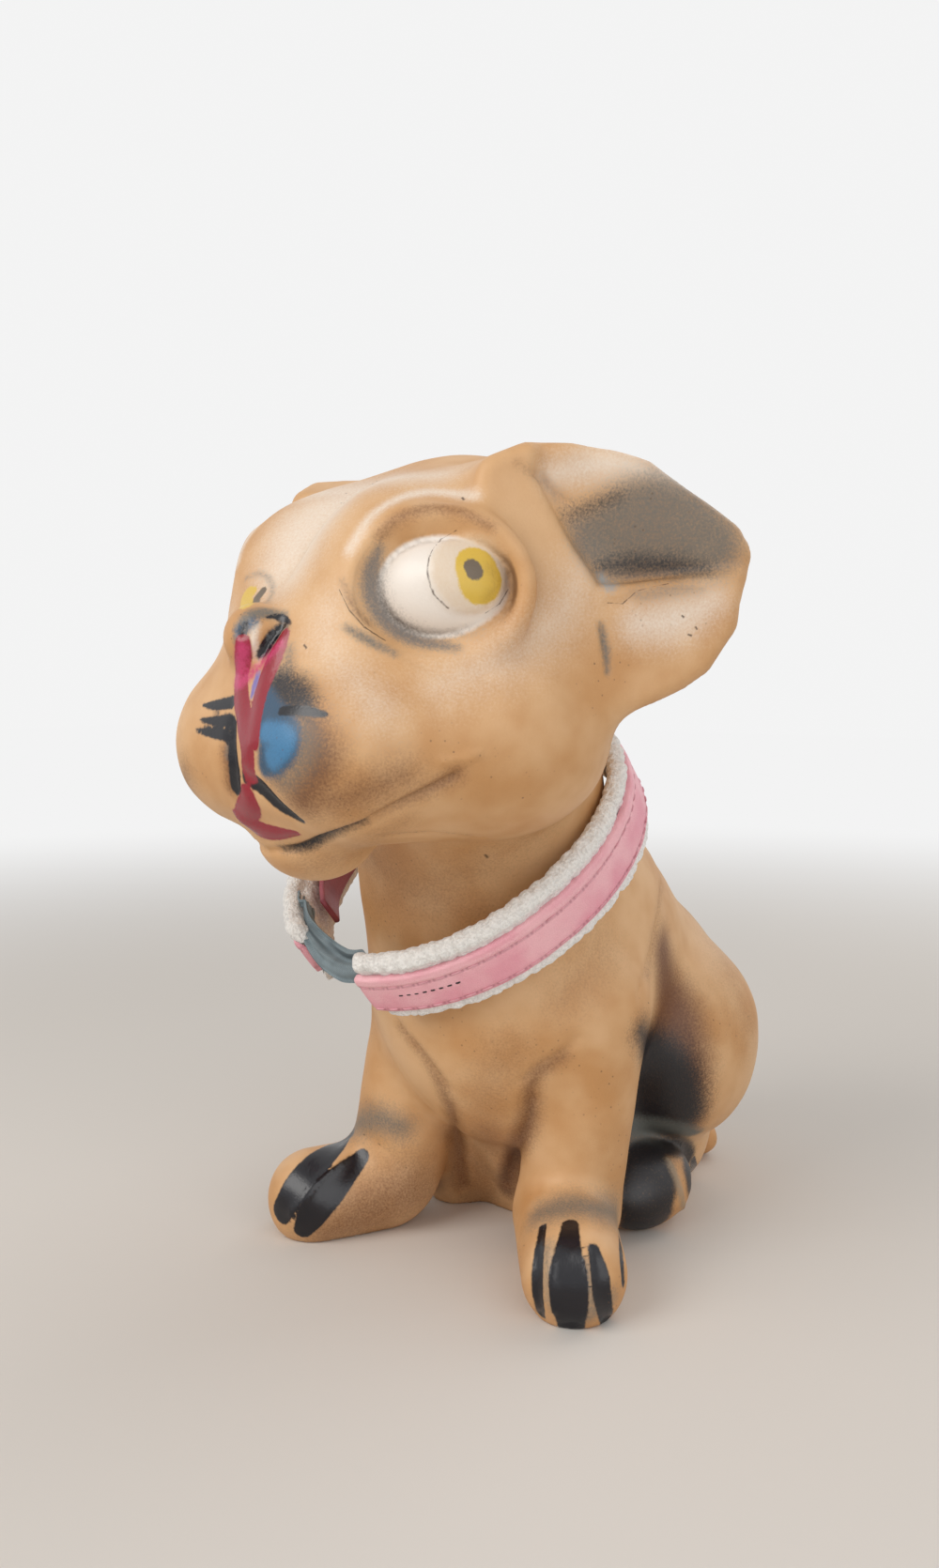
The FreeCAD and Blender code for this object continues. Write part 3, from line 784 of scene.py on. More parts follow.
@dataclass(frozen=True)
class FaceStrokes:
    """Places of the face and ears in the photograph."""

    near_nostril: Stroke = Stroke(
        ((300, 664, 9), (290, 676, 12), (281, 690, 12), (275, 700, 8)), Coat.BLACK, depth=1.8,
    )
    nostril_top: Stroke = Stroke(((284, 657, 4), (298, 656, 8), (308, 663, 6)), Coat.BLACK)
    far_nostril: Stroke = Stroke(((260, 664, 8), (258, 675, 8)), Coat.BLACK, depth=1.4)
    far_strip: Stroke = Stroke(
        ((259, 684, 18), (259, 704, 22), (257, 724, 25), (258, 748, 29), (261, 772, 31), (264, 800, 29),
         (264, 824, 26)), Coat.RED, depth=-0.5,
    )
    near_strip: Stroke = Stroke(
        ((304, 675, 13), (296, 694, 20), (288, 714, 24), (280, 735, 25), (274, 760, 25), (271, 790, 22)),
        Coat.RED, depth=-0.5,
    )
    strip_pink: Stroke = Stroke(
        ((259, 690, 16), (257, 710, 18), (257, 728, 14), (300, 686, 10)), Coat.PINK, soft=1.4, strength=0.8,
    )
    strip_shine: Stroke = Stroke(((276, 716, 6), (272, 730, 10), (269, 742, 6)), Coat.LILAC)
    nose_light: Stroke = Stroke(
        ((272, 664, 10), (270, 680, 10), (272, 700, 8)), Coat.GLOW, soft=1.2, strength=0.75,
    )
    nose_brown: Stroke = Stroke(
        ((304, 668, 12), (294, 682, 18), (282, 698, 14)), Coat.GREY, soft=1.2, strength=0.8,
    )
    tongue: Stroke = Stroke(((264, 846, 26), (266, 857, 34), (261, 870, 28)), Coat.RED, depth=-0.9)
    lower_lip: Stroke = Stroke(
        ((256, 868, 20), (272, 879, 28), (292, 885, 24), (316, 886, 11)), Coat.RED, depth=-0.8,
    )
    lip_line: Stroke = Stroke(
        ((262, 828, 20), (278, 840, 22), (296, 858, 22), (320, 875, 10)), Coat.BLACK, depth=1.1,
    )
    cleft: Stroke = Stroke(
        ((249, 768, 10), (246, 792, 18), (247, 815, 22), (250, 838, 22)), Coat.BLACK, depth=1.2,
    )
    cleft_lilac: Stroke = Stroke(
        ((240, 806, 5), (242, 790, 7), (247, 770, 6)), Coat.GREY, soft=1.2, strength=0.7,
    )
    mouth_corner: Stroke = Stroke(
        ((468, 812, 5), (490, 810, 10), (510, 804, 6)), sides=Sides.HEAD_PAIR, depth=-0.8,
    )
    jaw_crease: Stroke = Stroke(
        ((288, 907, 7), (318, 904, 11), (348, 893, 14), (387, 879, 13), (430, 856, 12), (488, 824, 9)),
        sides=Sides.HEAD_PAIR, depth=1.8,
    )
    throat_crease: Stroke = Stroke(
        ((400, 892, 4), (440, 888, 5), (472, 889, 5), (516, 893, 3)), sides=Sides.HEAD_PAIR, depth=0.7,
    )
    upper_whisker: Stroke = Stroke(((217, 751, 4), (230, 751, 12), (248, 748, 15)), Coat.BLACK)
    middle_whisker: Stroke = Stroke(((214, 767, 4), (228, 768, 11), (246, 768, 15)), Coat.BLACK)
    lower_whisker: Stroke = Stroke(((209, 778, 4), (223, 780, 10), (241, 783, 14)), Coat.BLACK)
    near_whisker: Stroke = Stroke(((300, 757, 11), (325, 757, 12), (346, 761, 8)), Coat.BLACK)
    blue_patch: Stroke = Stroke(
        ((282, 748, 34), (286, 766, 48), (298, 786, 56), (290, 800, 54), (282, 816, 28)),
        Coat.BLUE, soft=1.8,
    )
    blue_light: Stroke = Stroke(
        ((284, 780, 26), (302, 788, 34), (290, 806, 30)), Coat.BRIGHT, soft=1.8, strength=0.9,
    )
    nose_shade: Stroke = Stroke(
        ((302, 656, 12), (282, 652, 18), (264, 656, 18), (254, 668, 14)),
        Coat.GREY, soft=1.6, strength=0.85,
    )
    nose_blue: Stroke = Stroke(
        ((270, 662, 12), (256, 672, 16), (255, 682, 14)), Coat.BLUE, soft=1.4, strength=0.8,
    )
    nose_side_shade: Stroke = Stroke(
        ((308, 690, 12), (306, 715, 18), (298, 735, 24)), Coat.GREY, soft=2.5, strength=0.65,
    )
    muzzle_shade: Stroke = Stroke(
        ((290, 728, 40), (310, 740, 50), (326, 748, 30)), Coat.DARK, soft=4.0, strength=0.9,
    )
    patch_shade: Stroke = Stroke(
        ((312, 768, 44), (322, 795, 50), (300, 826, 46)), Coat.GREY, soft=4.5, strength=0.6,
    )
    mouth_shade: Stroke = Stroke(
        ((300, 835, 34), (335, 852, 48), (380, 846, 48), (430, 826, 34)),
        Coat.BROWN_SHADE, Sides.HEAD_PAIR, soft=8.0, strength=0.6,
    )
    # Brown painted shade below and to the right of the blue patch.
    patch_brown_shade: Stroke = Stroke(
        ((330, 778, 50), (340, 812, 60), (322, 850, 54)), Coat.BROWN_SHADE, soft=7.0, strength=0.75,
    )
    cleft_shade: Stroke = Stroke(((240, 800, 16), (246, 838, 20)), Coat.BROWN_SHADE, soft=3.5, strength=0.8)
    corner_shade: Stroke = Stroke(
        ((400, 868, 12), (440, 850, 16), (486, 826, 20)),
        Coat.BROWN_SHADE, Sides.HEAD_PAIR, soft=3.5, strength=0.65,
    )
    # Painted shade in the crease under the jaw.
    jaw_crease_shade: Stroke = Stroke(
        ((298, 905, 8), (325, 903, 13), (352, 891, 13), (388, 878, 8)), Coat.DARK, soft=1.8, strength=0.95,
    )
    chin_shade: Stroke = Stroke(
        ((330, 925, 40), (380, 908, 40), (430, 875, 26)),
        Coat.BROWN_SHADE, Sides.HEAD_PAIR, soft=8.0, strength=0.35,
    )
    lid_shade: Stroke = Stroke(
        ((404, 584, 10), (396, 608, 22), (398, 636, 26), (414, 662, 26), (445, 682, 20), (486, 690, 10)),
        Coat.LID, Sides.HEAD_PAIR, soft=2.4, strength=0.85,
    )
    # Brown painted shade on the inner top of the upper lid, under its fold.
    lid_brown_shade: Stroke = Stroke(
        ((404, 570, 12), (425, 551, 15), (456, 541, 15), (492, 545, 13), (524, 562, 9)),
        Coat.BROWN_SHADE, Sides.HEAD_PAIR, soft=2.4, strength=0.6,
    )
    ball_shade: Stroke = Stroke(
        ((410, 600, 12), (412, 632, 14), (430, 660, 14), (470, 676, 14), (510, 674, 10)),
        Coat.LID, soft=3.0, strength=0.3,
    )
    under_eye_shade: Stroke = Stroke(
        ((368, 668, 7), (392, 682, 11), (420, 696, 7)), Coat.GREY, soft=1.6, strength=0.85,
    )
    eye_corner_shade: Stroke = Stroke(
        ((364, 618, 5), (376, 645, 8), (392, 664, 10)), Coat.BROWN_SHADE, soft=2.0, strength=0.6,
    )
    lid_glow: Stroke = Stroke(
        ((372, 585, 12), (400, 545, 12), (450, 524, 14), (505, 528, 12)),
        Coat.GLOW, Sides.HEAD_PAIR, soft=3.0, strength=0.8,
    )
    forehead_glow: Stroke = Stroke(
        ((300, 610, 70), (330, 560, 100), (400, 515, 70), (470, 505, 40)),
        Coat.GLOW, Sides.HEAD_PAIR, soft=13.0, strength=0.7,
    )
    cheek_glow: Stroke = Stroke(
        ((470, 730, 40), (540, 700, 50), (600, 650, 50), (620, 600, 30)),
        Coat.GLOW, Sides.HEAD_PAIR, soft=12.0, strength=0.5,
    )
    muzzle_glow: Stroke = Stroke(
        ((400, 750, 50), (350, 690, 30), (350, 650, 30)),
        Coat.GLOW, Sides.HEAD_PAIR, soft=12.0, strength=0.5,
    )
    ear_shade: Stroke = Stroke(
        ((622, 562, 40), (650, 574, 86), (700, 560, 110), (750, 576, 80), (772, 588, 40)),
        Coat.GREY, Sides.HEAD_PAIR, soft=6.0, strength=0.8,
    )
    ear_edge_shade: Stroke = Stroke(
        ((640, 604, 10), (672, 600, 20), (712, 602, 20), (752, 606, 10)),
        Coat.DARK, Sides.HEAD_PAIR, soft=4.0, strength=0.8,
    )
    ear_corner_shade: Stroke = Stroke(
        ((604, 549, 10), (630, 540, 14), (660, 528, 10)),
        Coat.DARK, Sides.HEAD_PAIR, soft=3.4, strength=0.6,
    )
    ear_corner_light: Stroke = Stroke(
        ((640, 616, 12), (648, 626, 12), (655, 622, 8)), Coat.PALE, Sides.HEAD_PAIR, soft=1.8, strength=0.7,
    )
    ear_root_shade: Stroke = Stroke(
        ((552, 494, 6), (576, 512, 9), (602, 534, 9)),
        Coat.BROWN_SHADE, Sides.HEAD_PAIR, soft=3.0, strength=0.4, depth=0.6,
    )
    cheek_fold: Stroke = Stroke(
        ((431, 698, 7), (470, 716, 8), (518, 722, 6)), sides=Sides.HEAD_PAIR, depth=0.6,
    )
    ear_fold: Stroke = Stroke(
        ((647, 643, 4), (664, 643, 4), (680, 628, 4), (712, 620, 4), (745, 622, 3)),
        sides=Sides.HEAD_PAIR, depth=0.7,
    )
    ear_fold_shade: Stroke = Stroke(
        ((680, 634, 14), (715, 628, 16), (748, 626, 10)),
        Coat.GREY, Sides.HEAD_PAIR, soft=2.5, strength=0.5,
    )
    # Grey painted shade along the carved crease on the ear.
    ear_crease: Stroke = Stroke(
        ((640, 666, 6), (645, 690, 9), (648, 716, 5)),
        Coat.GREY, Sides.HEAD_PAIR, soft=1.6, strength=0.9, depth=0.9,
    )
    ear_glow: Stroke = Stroke(
        ((680, 665, 40), (720, 660, 50), (760, 640, 30)),
        Coat.GLOW, Sides.HEAD_PAIR, soft=8.0, strength=0.7,
    )
    ear_top_glow: Stroke = Stroke(
        ((590, 505, 24), (650, 494, 34), (720, 510, 20)),
        Coat.GLOW, Sides.HEAD_PAIR, soft=8.0, strength=0.8,
    )
    cornea_tint: Stroke = Stroke(((500, 607, 84), (503, 611, 84)), Coat.TINT, soft=1.4, strength=0.62)
    near_iris: Stroke = Stroke(((507, 606, 47), (511, 618, 50)), Coat.IRIS)
    far_iris: Stroke = Stroke(((270, 630, 12), (262, 636, 22), (262, 644, 16)), Coat.IRIS)
    near_pupil: Stroke = Stroke(((502, 606, 19), (504, 609, 20)), Coat.PUPIL)
    far_pupil: Stroke = Stroke(((280, 630, 12), (274, 637, 13), (272, 641, 8)), Coat.PUPIL)
    far_lid: Stroke = Stroke(
        ((262, 616, 5), (276, 611, 6), (288, 618, 7), (290, 632, 7), (284, 642, 6)),
        Coat.LID, soft=1.4, strength=0.6,
    )
    iris_shade: Stroke = Stroke(
        ((520, 606, 12), (528, 622, 14), (516, 638, 12)), Coat.AMBER, soft=2.0, strength=0.5,
    )
    cornea: Stroke = Stroke(((499, 608, 88), (500, 608, 88)), sides=Sides.HEAD_PAIR)


@dataclass(frozen=True)
class BodyStrokes:
    """Places of the chest, legs and paws in the photograph."""

    outer_claw: Stroke = Stroke(
        ((372, 1209, 18), (346, 1229, 28), (318, 1260, 32), (298, 1292, 26)), Coat.BLACK, depth=0.9,
    )
    inner_claw: Stroke = Stroke(
        ((384, 1232, 18), (354, 1265, 32), (334, 1292, 32), (322, 1312, 20)), Coat.BLACK, depth=0.9,
    )
    side_claw: Stroke = Stroke(
        ((577, 1306, 10), (572, 1341, 15), (571, 1372, 16), (575, 1401, 12)), Coat.BLACK, depth=0.9,
    )
    main_claw: Stroke = Stroke(
        ((607, 1303, 18), (605, 1331, 28), (605, 1362, 40), (606, 1392, 38), (608, 1414, 28)),
        Coat.BLACK, depth=0.9,
    )
    second_claw: Stroke = Stroke(
        ((633, 1330, 14), (640, 1358, 22), (643, 1382, 22), (648, 1410, 16)), Coat.BLACK, depth=0.9,
    )
    last_claw: Stroke = Stroke(((660, 1316, 6), (663, 1340, 10), (665, 1368, 8)), Coat.BLACK, depth=0.6)
    first_toe: Stroke = Stroke(((588, 1320, 6), (586, 1360, 8), (589, 1396, 8)), depth=-0.8)
    second_toe: Stroke = Stroke(((626, 1330, 6), (627, 1366, 6), (628, 1402, 7)), depth=-0.8)
    outer_toe: Stroke = Stroke(((369, 1230, 6), (337, 1260, 8), (310, 1294, 8)), depth=-0.8)
    toe_shade: Stroke = Stroke(((624, 1345, 12), (630, 1390, 14)), Coat.GREY, soft=1.6, strength=0.6)
    tip_shade: Stroke = Stroke(
        ((582, 1330, 20), (590, 1385, 26), (620, 1400, 30), (650, 1385, 24)),
        Coat.GREY, soft=4.0, strength=0.6,
    )
    ankle_shade: Stroke = Stroke(
        ((575, 1292, 36), (610, 1284, 50), (655, 1292, 36)), Coat.GREY, soft=7.0, strength=0.75,
    )
    wrist_shade: Stroke = Stroke(
        ((366, 1206, 24), (395, 1192, 34), (426, 1200, 30)), Coat.GREY, soft=6.0, strength=0.75,
    )
    # Brown painted shade on the near side of the right front paw.
    paw_shade: Stroke = Stroke(
        ((345, 1312, 60), (390, 1292, 80), (436, 1268, 70)), Coat.BROWN_SHADE, soft=12.0, strength=0.6,
    )
    right_chest_crease: Stroke = Stroke(
        ((421, 1086, 5), (445, 1116, 6), (466, 1143, 6), (480, 1162, 4)), depth=1.0,
    )
    left_chest_crease: Stroke = Stroke(
        ((617, 1106, 8), (595, 1123, 9), (574, 1136, 9), (553, 1153, 6)), depth=0.9,
    )
    inner_leg_crease: Stroke = Stroke(((480, 1176, 7), (488, 1215, 10), (494, 1264, 10)), depth=1.0)
    outer_leg_crease: Stroke = Stroke(
        ((566, 1170, 9), (562, 1195, 12), (548, 1235, 14), (540, 1262, 12)), depth=1.2,
    )
    crease_shade: Stroke = Stroke(
        ((426, 1095, 8), (462, 1142, 14), (484, 1195, 22), (492, 1262, 26)),
        Coat.BROWN_SHADE, soft=4.5, strength=0.65,
    )
    pit_shade: Stroke = Stroke(
        ((600, 1125, 10), (568, 1150, 16), (563, 1188, 24), (545, 1240, 30), (538, 1266, 30)),
        Coat.BROWN_SHADE, soft=4.5, strength=0.75,
    )
    chest_shade: Stroke = Stroke(
        ((540, 1120, 60), (520, 1160, 60), (515, 1200, 40)), Coat.BROWN_SHADE, soft=9.0, strength=0.3,
    )
    neck_shade: Stroke = Stroke(
        ((400, 960, 60), (480, 935, 70), (570, 890, 50)),
        Coat.BROWN_SHADE, Sides.BODY_PAIR, soft=14.0, strength=0.35,
    )
    shoulder_crease: Stroke = Stroke(
        ((705, 940, 5), (700, 980, 8), (694, 1010, 9), (680, 1062, 9)), sides=Sides.BODY_PAIR, depth=0.9,
    )
    shoulder_shade: Stroke = Stroke(
        ((705, 940, 8), (700, 985, 12), (690, 1040, 16)),
        Coat.BROWN_SHADE, Sides.BODY_PAIR, soft=4.0, strength=0.4,
    )
    side_shade: Stroke = Stroke(
        ((706, 1015, 50), (713, 1080, 72), (714, 1145, 90), (706, 1190, 80)),
        Coat.BROWN_SHADE, Sides.BODY_PAIR, soft=9.0, strength=0.9,
    )
    side_dark: Stroke = Stroke(
        ((682, 1098, 24), (702, 1142, 76), (707, 1182, 90)), Coat.DARK, Sides.BODY_PAIR, soft=7.0,
    )
    foot_dark: Stroke = Stroke(
        ((690, 1230, 50), (694, 1262, 66), (690, 1302, 60)), Coat.DARK, Sides.BODY_PAIR, soft=2.4,
    )
    foot_top_dark: Stroke = Stroke(
        ((690, 1222, 30), (728, 1226, 26), (735, 1260, 24)), Coat.DARK, Sides.BODY_PAIR, soft=2.4,
    )
    foot_band: Stroke = Stroke(
        ((676, 1200, 26), (705, 1200, 32), (738, 1207, 22)),
        Coat.BAND, Sides.BODY_PAIR, soft=3.0, strength=0.9,
    )
    foot_ridge: Stroke = Stroke(
        ((711, 1236, 8), (722, 1262, 11), (727, 1287, 8)),
        Coat.RIDGE, Sides.BODY_PAIR, soft=1.2, strength=0.8, depth=-0.8,
    )
    toe_stripe: Stroke = Stroke(
        ((738, 1236, 10), (741, 1260, 13), (739, 1286, 10)), Coat.BLACK, Sides.BODY_PAIR, depth=0.5,
    )
    seam: Stroke = Stroke(((386, 1208, 3), (404, 1219, 3), (433, 1244, 3)), depth=0.4)
    belly_shade: Stroke = Stroke(((640, 1010, 60), (600, 1060, 50)), Coat.BROWN_SHADE, soft=14.0, strength=0.3)
    web_shade: Stroke = Stroke(
        ((520, 1200, 40), (515, 1240, 60), (510, 1270, 60)), Coat.BROWN_SHADE, soft=8.0, strength=0.4,
    )
    back_shade: Stroke = Stroke(
        ((745, 960, 50), (775, 1030, 60), (800, 1100, 50)),
        Coat.BROWN_SHADE, Sides.BODY_PAIR, soft=16.0, strength=0.3,
    )


@dataclass(frozen=True)
class Hairlines:
    """Thin lines, cracks and specks that the shader draws: places in the photograph."""

    cornea_left: Places = (
        (486, 565, 1.5), (470, 574, 2.6), (458, 592, 3.8), (456, 612, 4.4), (462, 632, 4.0), (477, 647, 2.0),
    )
    cornea_right: Places = ((517, 653, 1.4), (532, 643, 2.2), (541, 628, 2.6))
    eye_corner: Places = ((361, 628, 1.6), (372, 650, 2.6), (388, 668, 3.4), (410, 682, 2.4))
    ear_specks: Places = ((727, 656, 3.4), (728, 657, 3.4))
    ear_dot: Places = ((741, 668, 3.0), (742, 670, 3.0))
    ear_chip: Places = ((733, 676, 3.4), (736, 677, 3.0))
    neck_crack: Places = ((690, 1068, 1.6), (701, 1084, 1.4), (698, 1100, 1.0))
    seam: Places = ((386, 1208, 2.4), (404, 1219, 2.2), (433, 1244, 1.6))
    throat: Places = ((402, 891, 2.0), (440, 887, 2.6), (480, 889, 2.4), (516, 893, 1.2))
    ear: Places = ((648, 642, 2.0), (664, 643, 2.2), (679, 629, 2.2), (712, 620, 1.4))
    neck_speck: Places = ((517, 911, 5.0), (519, 913, 4.0))
    brow_speck: Places = ((492, 530, 4.0), (494, 532, 4.0))
    muzzle_speck: Places = ((324, 687, 4.0), (326, 690, 5.0))
    nose_speck: Places = ((307, 662, 6.0), (309, 664, 6.0))


# Mesh and object making


def new_object(name: str, vertices: Array, faces: Faces, smooth: bool = True) -> Object:
    """Object at the origin from places in millimetres and faces.

    Args:
        name: name of the piece.
        vertices: places in the row frame, n by 3.
        faces: corners of each face.
        smooth: whether the faces are shaded smooth.

    Returns:
        The new object, linked to the scene.
    """
    mesh = bpy.data.meshes.new(name)
    listed = faces.tolist() if isinstance(faces, np.ndarray) else faces
    mesh.from_pydata((np.asarray(vertices) * MM).tolist(), [], listed)
    mesh.polygons.foreach_set("use_smooth", np.full(len(mesh.polygons), smooth))
    mesh.update()
    piece = bpy.data.objects.new(name, mesh)
    bpy.context.scene.collection.objects.link(piece)
    return piece


def add_attribute(piece: Object, name: str, values: Array) -> None:
    """Keep one number a vertex in the mesh for the material to read."""
    layer = piece.data.attributes.new(name, "FLOAT", "POINT")
    layer.data.foreach_set("value", np.asarray(values, np.float32))


def add_uv(piece: Object, along: Array, across: Array) -> None:
    """Flat map of the piece: metres along it and across it, for each vertex."""
    loops = np.empty(len(piece.data.loops), np.int32)
    piece.data.loops.foreach_get("vertex_index", loops)
    layer = piece.data.uv_layers.new(name="run")
    flat = np.stack([along[loops], across[loops]], axis=-1) * MM
    layer.data.foreach_set("uv", flat.astype(np.float32).ravel())


def tube_faces(rings: int, sides: int, offset: int = 0) -> list[tuple[int, ...]]:
    """Faces of a closed tube of rings: four-sided along it, and fans at both ends.

    The vertices are the rings in order, then the middle of the first and of the last ring.
    """
    ring = np.arange(rings - 1)[:, None] * sides
    side = np.arange(sides)[None]
    after = (side + 1) % sides
    walls = np.stack([ring + side, ring + after, ring + sides + after, ring + sides + side], axis=-1)
    first, last = rings * sides, rings * sides + 1
    begin = [(first, (i + 1) % sides, i) for i in range(sides)]
    top = (rings - 1) * sides
    finish = [(last, top + i, top + (i + 1) % sides) for i in range(sides)]
    faces = [tuple(face) for face in walls.reshape(-1, 4)] + begin + finish
    return [tuple(int(corner) + offset for corner in face) for face in faces]


def tube(rings: Array) -> tuple[Array, list[tuple[int, ...]]]:
    """Closed tube through rings of places, turned so that it looks outwards.

    Args:
        rings: places, rings by sides by 3.

    Returns:
        Vertices and faces. The volume, summed as the triple product of each side's
        corners, is made positive by turning the rings round where it is not.
    """
    count, sides = rings.shape[:2]
    one, two, three = rings[:-1], np.roll(rings[:-1], -1, axis=1), rings[1:]
    centre = rings.mean(axis=(0, 1))
    volume = np.einsum("ijk,ijk->", one - centre, np.cross(two - centre, three - centre))
    if volume < 0:
        rings = rings[:, ::-1]
    ends = np.stack([rings[0].mean(axis=0), rings[-1].mean(axis=0)])
    return np.concatenate([rings.reshape(-1, 3), ends]), tube_faces(count, sides)


def rounded_section(width: float, height: float, corner: float, count: int) -> Array:
    """Outline of a rectangle with rounded corners, evenly spaced.

    A dense outline is walked corner by corner as quarter circles, and places are then
    taken at equal shares of its length.

    Args:
        width: size along the first direction.
        height: size along the second direction.
        corner: radius of the corners.
        count: number of places.

    Returns:
        Places, count by 2, round the middle.
    """
    angles = np.linspace(0.0, math.pi / 2, 12)
    arcs = []
    for quarter, (sign_x, sign_y) in enumerate(((1, 1), (-1, 1), (-1, -1), (1, -1))):
        centre = np.array([sign_x * (width / 2 - corner), sign_y * (height / 2 - corner)])
        turn = angles + quarter * math.pi / 2
        arcs.append(centre + corner * np.stack([np.cos(turn), np.sin(turn)], axis=-1))
    outline = np.concatenate(arcs + [arcs[0][:1]])
    length = np.concatenate([[0.0], np.cumsum(np.linalg.norm(np.diff(outline, axis=0), axis=1))])
    wanted = np.linspace(0.0, length[-1], count, endpoint=False)
    return np.stack([np.interp(wanted, length, outline[:, axis]) for axis in range(2)], axis=-1)


# Shader nodes


Socket = bpy.types.NodeSocket
Value = object


def tone(colour: str) -> tuple[float, float, float, float]:
    """Linear colour from a hex one, by the standard curve of screens."""
    parts = [int(colour[i:i + 2], 16) / 255.0 for i in (1, 3, 5)]
    return (*(p / 12.92 if p <= 0.04045 else ((p + 0.055) / 1.055) ** 2.4 for p in parts), 1.0)


class NodeSheet:
    """Lays and joins the nodes of one tree."""

    def __init__(self, tree: Tree) -> None:
        """Start on a tree.

        Args:
            tree: node tree of a material or a group.
        """
        self.tree = tree

    def add(self, kind: str, inputs: dict[str | int, Value] | None = None, **settings: Value) -> Node:
        """New node with its settings made and its inputs joined or filled.

        Args:
            kind: Blender's name for the node, without its ShaderNode beginning.
            inputs: by name or number, a socket to join or a value to set.
            settings: properties of the node.

        Returns:
            The node.
        """
        node = self.tree.nodes.new(f"ShaderNode{kind}")
        for name, value in settings.items():
            setattr(node, name, value)
        for name, value in (inputs or {}).items():
            self.fill(node.inputs[name], value)
        return node

    def fill(self, socket: Socket, value: Value) -> None:
        """Join a socket to another one, or set its value."""
        if isinstance(value, bpy.types.NodeSocket):
            self.tree.links.new(value, socket)
        else:
            socket.default_value = value

    def math(self, operation: str, *values: Value, clamp: bool = False) -> Socket:
        """Result of a sum on one, two or three numbers."""
        node = self.add("Math", dict(enumerate(values)), operation=operation, use_clamp=clamp)
        return node.outputs[0]

    def vector(self, operation: str, *values: Value) -> Node:
        """Sum on places; the length and the dot product come out as its Value."""
        return self.add("VectorMath", dict(enumerate(values)), operation=operation)

    def step(self, value: Value, low: Value, high: Value) -> Socket:
        """Eased step from 0 to 1 as the value goes from low to high."""
        inputs = {"Value": value, "From Min": low, "From Max": high}
        return self.add("MapRange", inputs, interpolation_type="SMOOTHSTEP").outputs[0]

    def mix(self, share: Value, one: Value, other: Value, blend: str = "MIX") -> Socket:
        """Mix of two colours."""
        return self.add("Mix", {0: share, 6: one, 7: other}, data_type="RGBA", blend_type=blend).outputs[2]

    def tint(self, colour: Value, mask: Value, share: float, other: Value, blend: str = "MIX") -> Socket:
        """Colour taken towards another one by a share of a mask."""
        return self.mix(self.math("MULTIPLY", mask, share), colour, other, blend)

    def blend(self, share: Value, one: Value, other: Value) -> Socket:
        """Mix of two numbers."""
        return self.add("Mix", {0: share, 2: one, 3: other}, data_type="FLOAT").outputs[0]

    def noise(self, place: Socket, scale: Value, detail: float = 2.0, rough: float = 0.5) -> Socket:
        """Cloudy noise about one half, at a scale in cycles a metre."""
        inputs = {"Vector": place, "Scale": scale, "Detail": detail, "Roughness": rough}
        return self.add("TexNoise", inputs).outputs[0]

    def attribute(self, name: str) -> Socket:
        """Number kept at the vertices."""
        return self.add("Attribute", attribute_name=name).outputs["Fac"]

    def rest(self, share: Value) -> Socket:
        """One less a share."""
        return self.math("SUBTRACT", 1.0, share)

    def apart(self, one: Value, other: Value) -> Socket:
        """How far apart two numbers are."""
        return self.math("ABSOLUTE", self.math("SUBTRACT", one, other))

    def swing(self, share: Value, amount: Value, middle: Value) -> Socket:
        """Swing of an amount about a middle, from a share that varies about one half."""
        return self.math("MULTIPLY_ADD", self.math("SUBTRACT", share, 0.5), amount, middle)

    def flat_map(self) -> bpy.types.bpy_prop_collection:
        """Metres along the piece and across it, from its own flat map."""
        return self.add("SeparateXYZ", {0: self.add("UVMap", uv_map="run").outputs[0]}).outputs

    def finish(self, shader: Node, colour: Socket, roughness: Value, relief: Pair, height: Socket) -> None:
        """Join a colour, a roughness and a relief to a shader.

        Args:
            shader: Principled shader of the material.
            colour: colour over the surface.
            roughness: roughness, plain or over the surface.
            relief: strength and distance of the bump.
            height: height over the surface.
        """
        bump = self.add("Bump", {"Strength": relief[0], "Distance": relief[1], "Height": height})
        self.fill(shader.inputs["Base Color"], colour)
        self.fill(shader.inputs["Roughness"], roughness)
        self.fill(shader.inputs["Normal"], bump.outputs[0])

    def group(self, tree: Tree, **inputs: Value) -> Node:
        """Place a shared group, with its inputs filled by name."""
        node = self.tree.nodes.new("ShaderNodeGroup")
        node.node_tree = tree
        for name, value in inputs.items():
            self.fill(node.inputs[name.replace("_", " ")], value)
        return node


class SharedEffect:
    """Shader node group that several finishes place with their own values."""

    def __init__(self, name: str, inputs: dict[str, str], outputs: dict[str, str]) -> None:
        """Make the group and its sockets.

        Args:
            name: name of the group.
            inputs: kind of each input socket, by name.
            outputs: kind of each output socket, by name.
        """
        self.tree = bpy.data.node_groups.new(name, "ShaderNodeTree")
        for way, sockets in (("INPUT", inputs), ("OUTPUT", outputs)):
            for label, kind in sockets.items():
                self.tree.interface.new_socket(label, in_out=way, socket_type=f"NodeSocket{kind}")
        self.sheet = NodeSheet(self.tree)
        self.inputs = self.tree.nodes.new("NodeGroupInput").outputs
        self.result = self.tree.nodes.new("NodeGroupOutput").inputs

    def give(self, **outputs: Socket) -> Tree:
        """Join the results and hand the group over."""
        for name, socket in outputs.items():
            self.tree.links.new(socket, self.result[name.replace("_", " ")])
        return self.tree


